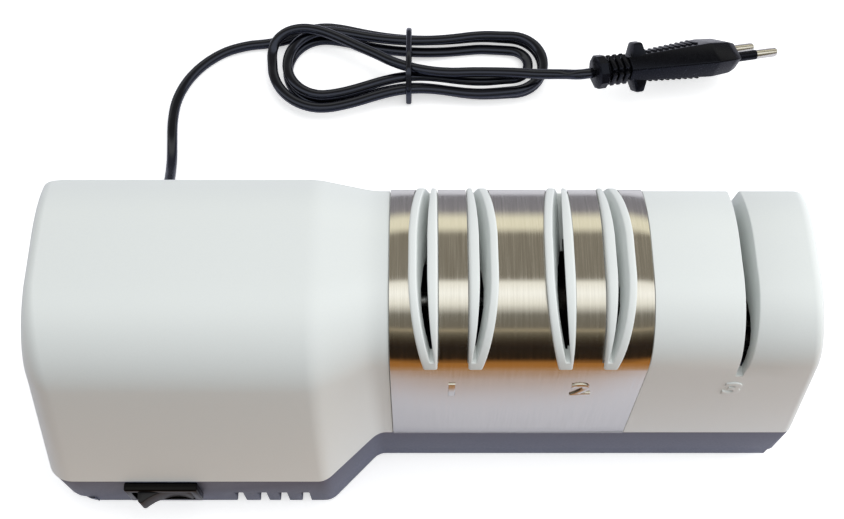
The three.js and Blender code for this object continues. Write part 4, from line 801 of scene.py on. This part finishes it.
# Brushed stainless: streaks from front to back draw each highlight out along the body.
brushed = grained(
    "brushed_stainless", "brushed_cover", ("#cbc8c2", "#e9e7e3"), (0.12, 0.26), 0.32, 0.012,
    (1, 0.02, 0.02), 4.0,
    Metallic=1.0, Anisotropic=0.6, Anisotropic_Rotation=0.25,
)
tree = brushed.node_tree
around = add_node(tree, "Tangent", direction_type="RADIAL", axis="X")
tree.links.new(around.outputs[0], tree.nodes["Principled BSDF"].inputs["Tangent"])
finish("steel_cover", bm, brushed, ["stainless_cover"], 30)

# Base: a tray in grey ABS under the white housing, with a step under each end, four vents in
# front of the motor, and holes for the switch, the lead, the screws and the clean-out cover.
# Grey ABS: a coarser, duller grain than the white shell's.
grey_abs = grained(
    "grey_moulded_abs", "grey_plastic", ("#5c6072", "#636779"), (0.44, 0.56), 0.7, 0.02, IOR=1.54
)


def from_cad(node, dist=0.001):
    """A CAD node's mesh in millimetres, with the vertices that lie together merged."""
    bm = bmesh.new()
    bm.from_mesh(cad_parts[node].data)
    bm.transform(Matrix.Scale(1000, 4))
    bmesh.ops.remove_doubles(bm, verts=bm.verts, dist=dist)
    return bm


def dressed(name, node, material, width, segments=2, angle=35, body="housing", **more):
    """A copy of a CAD node with its flat faces joined again and its edges rounded."""
    bm = from_cad(node, 0.002)
    bmesh.ops.dissolve_limit(bm, angle_limit=radians(0.5), verts=bm.verts, edges=bm.edges)
    if "cuts" in more:
        bm = carved(bm, more.pop("cuts"))
    round_sharp(bm, radians(angle), width, segments)
    finish(name, bm, material, [node], angle, body, **more)


# The ledge under the left end follows the round front corner of the body.
LEDGE = 2.7
LEDGE_HEIGHT = 7.5
CORNER_RADIUS = 9
corner_x = -HALF_LENGTH + LEDGE + CORNER_RADIUS
corner_y = MOTOR_SECTION[0][0].y + CORNER_RADIUS
ledge = [(-140, 60), (-140, -60), (corner_x, -60)]
for k in range(11):
    x, y = (CORNER_RADIUS * part(pi / 2 * k / 10) for part in (sin, cos))
    ledge.append((corner_x - x, corner_y - y))
ledge.append((corner_x - CORNER_RADIUS, 60))
step = outline_block(ledge, "Z", (-1, LEDGE_HEIGHT))
dressed("grey_base", "base_housing", grey_abs, 0.4, cuts=[step])

# Switch: a mains rocker switch snapped into the front of the base. Bezel and body are one
# glossy black ABS moulding, and the curved rocker tips on a pin inside it.
SWITCH_X = -88.4
SWITCH_FRONT = -42.88
SWITCH_SEAT = -39.9
SWITCH_BACK = -23.88
SWITCH_LOW = 14.3
SWITCH_HIGH = 28.3
BEZEL_HALF = 12.4
BEZEL_EDGE = 2.4
POCKET_HALF = 10.2
POCKET_BACK = -33.1
ROCKER_Y = -37.88
ROCKER_HALF = 8.6
ROCKER_TIP = 7.3
ROCKER_MIDDLE = 4.75
ROCKER_ROOT = (4, 2.5)
ROCKER_TILT = radians(12)
ROCKER_GAP = 0.35
ROCKER_NOSE = 1.1
# Black ABS: polished on the bezel, which shows hard dark reflections, and satin on the rocker.
gloss_abs = grained(
    "glossy_black_abs", "black_plastic", "#030304", 0.14, 1.5, 0.004,
    IOR=1.5, Specular_IOR_Level=0.12,
)
satin_abs = grained(
    "satin_black_abs", "black_plastic", "#1b1b1f", 0.4, 0.5, 0.006, IOR=1.5, Specular_IOR_Level=0.3
)

blocks = []
for half, front, back, inset, width, segments in (
    (BEZEL_HALF, SWITCH_FRONT, SWITCH_SEAT, 0, 0.6, 3),
    (BEZEL_HALF - 1.3, SWITCH_FRONT + 1, SWITCH_BACK, 1.5, 0.4, 2),
    (POCKET_HALF, SWITCH_FRONT - 3, POCKET_BACK, BEZEL_EDGE, 0.5, 3),
):
    low = (SWITCH_X - half, front, SWITCH_LOW + inset)
    high = (SWITCH_X + half, back, SWITCH_HIGH - inset)
    blocks.append(block(low, high, width, segments))
bezel, rear, pocket = blocks
finish("switch_bezel", carved(bezel, [pocket], [rear]), gloss_abs, ["switch_body"], 40)

# The rocker's face is hollowed, with both ends raised: the left end stands out when it is on.
rise = ROCKER_TIP - ROCKER_MIDDLE
hollow = (ROCKER_HALF**2 + rise**2) / (2 * rise)
sweep = 0.87 * asin(ROCKER_HALF / hollow)
outline = []
for k in range(17):
    at = sweep * (2 * k / 16 - 1)
    lift = hollow * (1 - cos(at))
    outline.append((hollow * sin(at), -ROCKER_MIDDLE - lift))
nose = []
for k in range(1, 9):
    turn = (pi / 2 + sweep) * (k / 8 - 1) + 0.2 * k / 8
    x, y = outline[-1]
    x += ROCKER_NOSE * (sin(sweep) + cos(turn))
    y += ROCKER_NOSE * (cos(sweep) + sin(turn))
    nose.append((x, y))
outline = [(-x, y) for x, y in nose[::-1]] + outline + nose
outline += [(ROCKER_HALF + 0.2, 0), ROCKER_ROOT]
outline += [(-ROCKER_ROOT[0], ROCKER_ROOT[1]), (-ROCKER_HALF - 0.2, 0)]
gap = BEZEL_EDGE + ROCKER_GAP
bm = outline_block(outline, "Z", (SWITCH_LOW + gap, SWITCH_HIGH - gap))
round_sharp(bm, 0.5, 0.4, 3)
bm.transform(Matrix.Translation((SWITCH_X, ROCKER_Y, 0)) @ Matrix.Rotation(ROCKER_TILT, 4, "Z"))
finish("switch_rocker_key", bm, satin_abs, ["switch_rocker"], 40, "rocker")

# Stage numbers: low raised figures 1 to 3 under the slots, the first two pressed up in the steel
# cover and the third moulded in the white housing.
NUMBER_Z = 67.4
NUMBER_SIZE = 11.6
NUMBER_WIDEN = 1.12
NUMBER_RISE = 0.5
NUMBER_SINK = 0.3
for figure, x, proud, material in (
    ("1", STAGE_X[0], STAND_PROUD, brushed),
    ("2", STAGE_X[1], STAND_PROUD, brushed),
    ("3", HAND_SLOT_X, 0, white_abs),
):
    curve = bpy.data.curves.new("figure", "FONT")
    curve.body = figure
    curve.size = NUMBER_SIZE
    curve.bevel_depth = 0.22
    curve.extrude = (NUMBER_RISE + NUMBER_SINK) / 2 - curve.bevel_depth
    curve.bevel_resolution = 2
    curve.offset = 0.2
    curve.align_x = curve.align_y = "CENTER"
    flat = add_object("figure", curve)
    bpy.context.view_layer.update()
    bm = bmesh.new()
    bm.from_mesh(flat.evaluated_get(bpy.context.evaluated_depsgraph_get()).to_mesh())
    bpy.data.objects.remove(flat)
    bpy.data.curves.remove(curve)
    foot_y = RIGHT_FRONT + (NUMBER_Z - PARTING) * tan(RIGHT_LEAN)
    foot_y -= proud / cos(RIGHT_LEAN)
    bm.transform(
        Matrix.Translation((x, foot_y, NUMBER_Z))
        @ Matrix.Rotation(pi / 2 - RIGHT_LEAN, 4, "X")
        @ Matrix.Translation((0, 0, (NUMBER_RISE - NUMBER_SINK) / 2))
        @ Matrix.Diagonal((NUMBER_WIDEN, 1, 1, 1))
    )
    finish("stage_figure_" + figure, bm, material, sharp=40)

# Motor: a shaded-pole motor that stands on rests in the base, under the deep end. A coil on a
# nylon bobbin magnetises a closed stack of steel sheets, and two brackets hold bronze bushes.
SHAFT_Y = 7.32
SHAFT_Z = 74


def waved(name, slot, direction, pitch, distortion):
    """A metal with stripes across a direction, at a pitch in mm. Returns it, and what its
    pattern is laid on."""
    material, tree, shader, place = new_material(name, slot, Metallic=1.0)
    settings = [("Vector", place), ("Scale", 1000 / (20 * pitch)), ("Distortion", distortion)]
    settings.append(("Detail", 1.0))
    wave = add_node(tree, "TexWave", settings, bands_direction=direction)
    return material, (tree, shader, wave.outputs["Fac"])


# Steel sheets: real ones are 0.5 mm thick, and the dark stripes across X stand for them.
core_steel, sheets = waved("laminated_motor_steel", "dark_steel", "X", 0.5, 0.6)
patterned(*sheets, ("#3c3b3b", "#5a5958"), (0.36, 0.52))
# Enamelled wire of 0.35 mm, drawn at 0.7 mm so that the turns show side by side along Y.
copper_wire, turns = waved("enamelled_copper_wire", "copper_winding", "Y", 0.7, 0.4)
patterned(*turns, ("#7f3d19", "#b06231"), 0.3, 0.2)
# Nylon: a plain cream satin. Zinc: a dull grey with soft spangle. Sintered bronze: brown, matt
# and full of pores. Ground steel: bright, with fine scratches round its axis.
nylon = grained("moulded_nylon", "cream_plastic", "#d9d0b8", 0.45, 0.8, 0.01, IOR=1.53)
zinc_steel = grained(
    "zinc_plated_steel", "bright_steel", ("#84878c", "#989ba0"), 0.34, 2.0, 0.006, Metallic=1.0
)
bronze = grained(
    "sintered_bronze", "bronze", ("#8b6739", "#a98250"), 0.48, 0.3, 0.02, Metallic=1.0
)
ground_steel = grained(
    "ground_steel", "bright_steel", "#b4b6b9", (0.18, 0.32), 0.2, 0.003, (1, 0.1, 0.1),
    Metallic=1.0,
)

dressed("motor_lamination_stack", "motor_core", core_steel, 0.3)
dressed("coil_winding", "motor_coil", copper_wire, 1.6, 4)
dressed("coil_former", "coil_bobbin", nylon, 0.3)
for side in ("left", "right"):
    node = "motor_bracket_" + side
    dressed(node + "_casting", node, zinc_steel, 0.35, slot="dark_steel")
    node = "bearing_bush_" + side
    dressed(node + "_turned", node, bronze, 0.35, 2, 30)
dressed("rotor_stack", "motor_rotor", core_steel, 0.4, 2, 30, "drive")
dressed("fan_moulding", "cooling_fan", nylon, 0.2, body="drive")

# Drive shaft: ground steel through both brackets to a bronze bush in the base's post. Four
# cross pins drive the disks, and a coil spring between each pair pushes them apart.
dressed("ground_shaft", "drive_shaft", ground_steel, 0.3, 2, 30, "drive")
dressed("shaft_end_bush_turned", "shaft_end_bush", bronze, 0.35, 2, 30)
# Spring wire: grey steel with a drawn, faintly uneven shine.
spring_steel = grained(
    "spring_steel_wire", "bright_steel", "#9da0a4", (0.2, 0.34), 0.4, 0.003, Metallic=1.0
)
# Each spring is cut in two halves at the middle of its stage.
for stage, centre, hand, side in SEATS:
    node = "disk_spring_" + stage
    bm = from_cad(node)
    bmesh.ops.bisect_plane(
        bm,
        geom=bm.verts[:] + bm.edges[:] + bm.faces[:], plane_co=(centre, 0, 0),
        plane_no=(side, 0, 0), clear_inner=True,
    )
    bmesh.ops.holes_fill(bm, edges=[e for e in bm.edges if e.is_boundary], sides=0)
    replaces = [node] if side < 0 else ()
    half = finish(f"coil_spring_{stage}_{hand}", bm, spring_steel, replaces, 60, None)
    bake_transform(half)

# Disks: four turned steel cones, two to a stage, their flat hubs driven by the pins. The cone
# of each is coated with fine diamond grit set in nickel.
# Grit: grey sparkling grains of 0.05 mm, drawn at 0.3 mm so that they show.
grit, tree, shader, place = new_material("diamond_grit_in_nickel", "abrasive_coat", Metallic=1.0)
cells = add_node(tree, "TexVoronoi", [("Vector", place), ("Scale", 1000 / 0.3)])
patterned(tree, shader, cells.outputs["Distance"], ("#3f3d3a", "#777470"), 0.5, 0.1)
CONE = [(7.6, 3.3), (3.9, 3.3), (3.9, 5.75), (1.9, 5.75), (1.9, 21.8), (2.1, 22), (3.8, 22)]
CONE += [(4, 21.8), (5, 10), (5, 7), (7.4, 7), (7.6, 6.8), (7.6, 3.3)]
GROOVE_HALF = 1.3
for stage, centre, hand, side in SEATS:
    bm = spun([(centre + side * x, radius) for x, radius in CONE], 72)
    bm.transform(Matrix.Translation((0, SHAFT_Y, SHAFT_Z)))
    near, far = sorted((centre + side * 4.9, centre + side * 9))
    low = (near, SHAFT_Y - 9, SHAFT_Z - GROOVE_HALF)
    bm = carved(bm, [block(low, (far, SHAFT_Y + 9, SHAFT_Z + GROOVE_HALF))])
    seat = f"{stage}_{hand}"
    finish("grit_cone_" + seat, bm, grit, ["abrasive_disk_" + seat], 25, "disk_" + seat)
    pin = "drive_pin_" + seat
    dressed("cross_pin_" + seat, pin, ground_steel, 0.2, 2, 40, "drive")

# Third stage: a black ABS holder hangs under the hand slot. Two rollers with raised grit bands
# run on steel axles through it, and their bands pass between each other.
dressed("roller_cradle", "roller_holder", satin_abs, 0.4)
for hand in ("left", "right"):
    roller = "hand_roller_" + hand
    dressed("banded_roller_" + hand, roller, grit, 0.3, 2, 30, "roller_" + hand)
    dressed("axle_rod_" + hand, "roller_axle_" + hand, ground_steel, 0.25, 2, 40)

# Wires: two single wires in soft black PVC, inside. One goes from the lead to the switch, and
# one from the switch to the coil.
for node in ("wire_to_switch", "wire_to_coil"):
    finish(node + "_insulated", from_cad(node), soft_pvc, [node], 60)

# Feet: four round rubber feet, moulded with a ring groove in the sole and pressed into shallow
# recesses under the base.
FOOT_RADIUS = 6
FOOT_HEIGHT = 3.2
# Rubber: matt and near black, with paler dust in its grain.
rubber = grained(
    "moulded_rubber", "foot_rubber", ("#242425", "#333334"), 0.75, 0.6, 0.02, IOR=1.52
)
FOOT = [(0, 0), (0, 3.4), (0.5, 3.9), (0.5, 4), (0, 4.5), (0, 5.3), (0.2, 5.8)]
FOOT += [(0.7, FOOT_RADIUS), (FOOT_HEIGHT - 0.3, FOOT_RADIUS)]
FOOT += [(FOOT_HEIGHT, FOOT_RADIUS - 0.3), (FOOT_HEIGHT, 0)]
upward = Matrix.Rotation(-pi / 2, 4, "Y")
for corner, x, y in (
    ("front_left", -100, -29.9),
    ("back_left", -100, 36.3),
    ("front_right", 103, -12.7),
    ("back_right", 103, 33.3),
):
    bm = spun(FOOT, 40)
    bm.transform(Matrix.Translation((x, y, 0)) @ upward)
    finish("rubber_foot_" + corner, bm, rubber, ["foot_" + corner], 30)

# Screws: pan-head screws with a cross recess. Four hold base and housing together from below,
# one holds the clean-out cover, and two long ones clamp the motor's brackets to its core.
SCREW_HEAD = 3
SCREW_HEAD_HEIGHT = 1.9


def add_screw(node, length, shank, turn, start):
    """A screw along X from its head, turned by a matrix and moved to a start point."""
    profile = [(0, 0), (0, 1.8), (0.25, 2.5), (0.8, SCREW_HEAD), (SCREW_HEAD_HEIGHT, SCREW_HEAD)]
    profile += [(SCREW_HEAD_HEIGHT, shank), (length - 0.8, shank)]
    profile += [(length, shank * 0.4), (length, 0)]
    bars = []
    for angle in (pi / 4, 3 * pi / 4):
        across = Matrix.Rotation(angle, 4, "X")
        bars.append(block((-1, -1.5, -0.35), (1.2, 1.5, 0.35), turn=across))
    bm = carved(spun(profile, 32), bars)
    bm.transform(Matrix.Translation(start) @ turn)
    finish(node + "_turned", bm, zinc_steel, [node], 30)


for corner, x, y in (
    ("front_left", -118.4, -22.9),
    ("back_left", -118.4, 29.3),
    ("front_right", 118.4, -5.7),
    ("back_right", 118.4, 26.3),
):
    add_screw("housing_screw_" + corner, 24.2, 1.5, upward, (x, y, 15.8))
add_screw("cleanout_screw", 11.6, 1.5, upward, (15.5, 7.3, 0.4))
for row, y in (("front", -9.3), ("back", 23.9)):
    add_screw("motor_screw_" + row, 52.2, 1.6, Matrix.Identity(4), (-105.7, y, SHAFT_Z))

# Clean-out cover: a plain grey ABS plate let into the floor under the disks, where grinding
# dust gathers.
dressed("cleanout_plate", "cleanout_cover", grey_abs, 0.4)

# Studio: white paper on a wooden worktop, between long soft light panels. The paper ends in
# front of the sharpener, outside the picture, so only reflections and bounced light meet the
# wood. The camera sees plain white.
# What the steel mirrors, from the back over the top to the front: soft panels between darker
# gaps, the bright one overhead, and the worktop in front. Angle in degrees and colour.
PANELS = [(0, "#7b7a80"), (24, "#828085"), (35, "#e6e1c9"), (46, "#e6e1c9"), (54, "#7d776a")]
PANELS += [(73, "#7a7467"), (80, "#f0eee2"), (97, "#fffff8"), (113, "#eae8dc")]
PANELS += [(129, "#736f64"), (150, "#6a6457"), (154, "#a5997f"), (158, "#645d4d")]
PANELS += [(168, "#40382a"), (177, "#2a2016")]
PANEL_STRENGTH = 1.3
SOFT_STRENGTH = 0.68
SOFT_LEAN = 0.32
world = bpy.data.worlds.new("studio")
scene.world = world
world.use_nodes = True
tree = world.node_tree
tree.nodes.clear()
rays = add_node(tree, "LightPath")
direction = add_node(tree, "TexCoord").outputs["Generated"]
parts = add_node(tree, "SeparateXYZ", [(0, direction)])
across = [(0, parts.outputs["Z"]), (1, parts.outputs["Y"])]
angle = add_node(tree, "Math", across, operation="ARCTAN2")
up = add_node(tree, "Math", [(0, angle)], operation="ABSOLUTE")
turned = add_node(tree, "MapRange", [("Value", up), ("From Max", pi)])
ramp = add_node(tree, "ValToRGB", [(0, turned)])
stops = ramp.color_ramp.elements
for k, (degrees, colour) in enumerate(PANELS):
    stop = stops[k] if k < 2 else stops.new(degrees / 180)
    stop.position = degrees / 180
    stop.color = linear(colour)
panels = add_node(tree, "Background", [("Color", ramp), ("Strength", PANEL_STRENGTH)])
# The soft light is stronger from the right.
ends = [("To Min", SOFT_STRENGTH * (1 - SOFT_LEAN)), ("To Max", SOFT_STRENGTH * (1 + SOFT_LEAN))]
lean = add_node(tree, "MapRange", [("Value", parts.outputs["X"]), ("From Min", -1.0), *ends])
soft = add_node(tree, "Background", [("Color", linear("#fbfdff")), ("Strength", lean)])
around = add_node(tree, "MixShader", [(0, rays.outputs["Is Glossy Ray"]), (1, soft), (2, panels)])
plain = add_node(tree, "Background", [("Color", (1, 1, 1, 1)), ("Strength", 1.0)])
mix = add_node(tree, "MixShader", [(0, rays.outputs["Is Camera Ray"]), (1, around), (2, plain)])
add_node(tree, "OutputWorld", [("Surface", mix)])

floor = add_object("floor", bpy.data.meshes.new("floor"))
bm = bmesh.new()
bmesh.ops.create_grid(bm, x_segments=1, y_segments=1, size=3)
bm.to_mesh(floor.data)
bm.free()
paper, tree, shader, place = new_material(
    "white_paper_on_wood", None, Roughness=0.9, Specular_IOR_Level=0.0
)
rays = add_node(tree, "LightPath")
parts = add_node(tree, "SeparateXYZ", [(0, place)])
# Worktop from the paper forwards: where each colour starts, where it is full, and the colour.
WORKTOP = [(-0.047, -0.068, "#c09468"), (-0.072, -0.1, "#b4783a"), (-0.12, -0.19, "#2a2016")]
worktop = linear("#f0f0fa")
for start, stop, colour in WORKTOP:
    share = add_node(
        tree, "MapRange", [("Value", parts.outputs["Y"]), ("From Min", start), ("From Max", stop)],
        interpolation_type="SMOOTHSTEP",
    )
    worktop = add_node(
        tree, "Mix", [(0, share), (6, worktop), (7, linear(colour))], data_type="RGBA"
    ).outputs[2]
seen = add_node(
    tree, "Mix", [(0, rays.outputs["Is Camera Ray"]), (6, worktop), (7, linear("#f4f4f4"))],
    data_type="RGBA",
)
tree.links.new(seen.outputs[2], shader.inputs["Base Color"])
glow = add_node(tree, "Emission", [("Color", (1, 1, 1, 1)), ("Strength", 0.5)])
both = add_node(tree, "AddShader", [(0, shader), (1, glow)])
mix = add_node(tree, "MixShader", [(0, rays.outputs["Is Camera Ray"]), (1, shader), (2, both)])
tree.links.new(mix.outputs[0], tree.nodes["Material Output"].inputs["Surface"])
floor.data.materials.append(paper)

for name, place, aim, size, power in (
    ("right_lamp", (1.9, -0.2, 0.75), (0, 0, 0.05), (1.3, 0.9), 17),
    ("top_lamp", (0.2, 0.35, 1.5), (0, 0.02, 0.05), (1.2, 0.8), 5.2),
):
    lamp_data = bpy.data.lights.new(name, "AREA")
    lamp_data.shape = "RECTANGLE"
    lamp_data.size, lamp_data.size_y = size
    lamp_data.energy = power
    lamp = add_object(name, lamp_data)
    lamp.location = place
    lamp.rotation_euler = (Vector(aim) - Vector(place)).to_track_quat("-Z", "Y").to_euler()
    lamp.visible_glossy = False
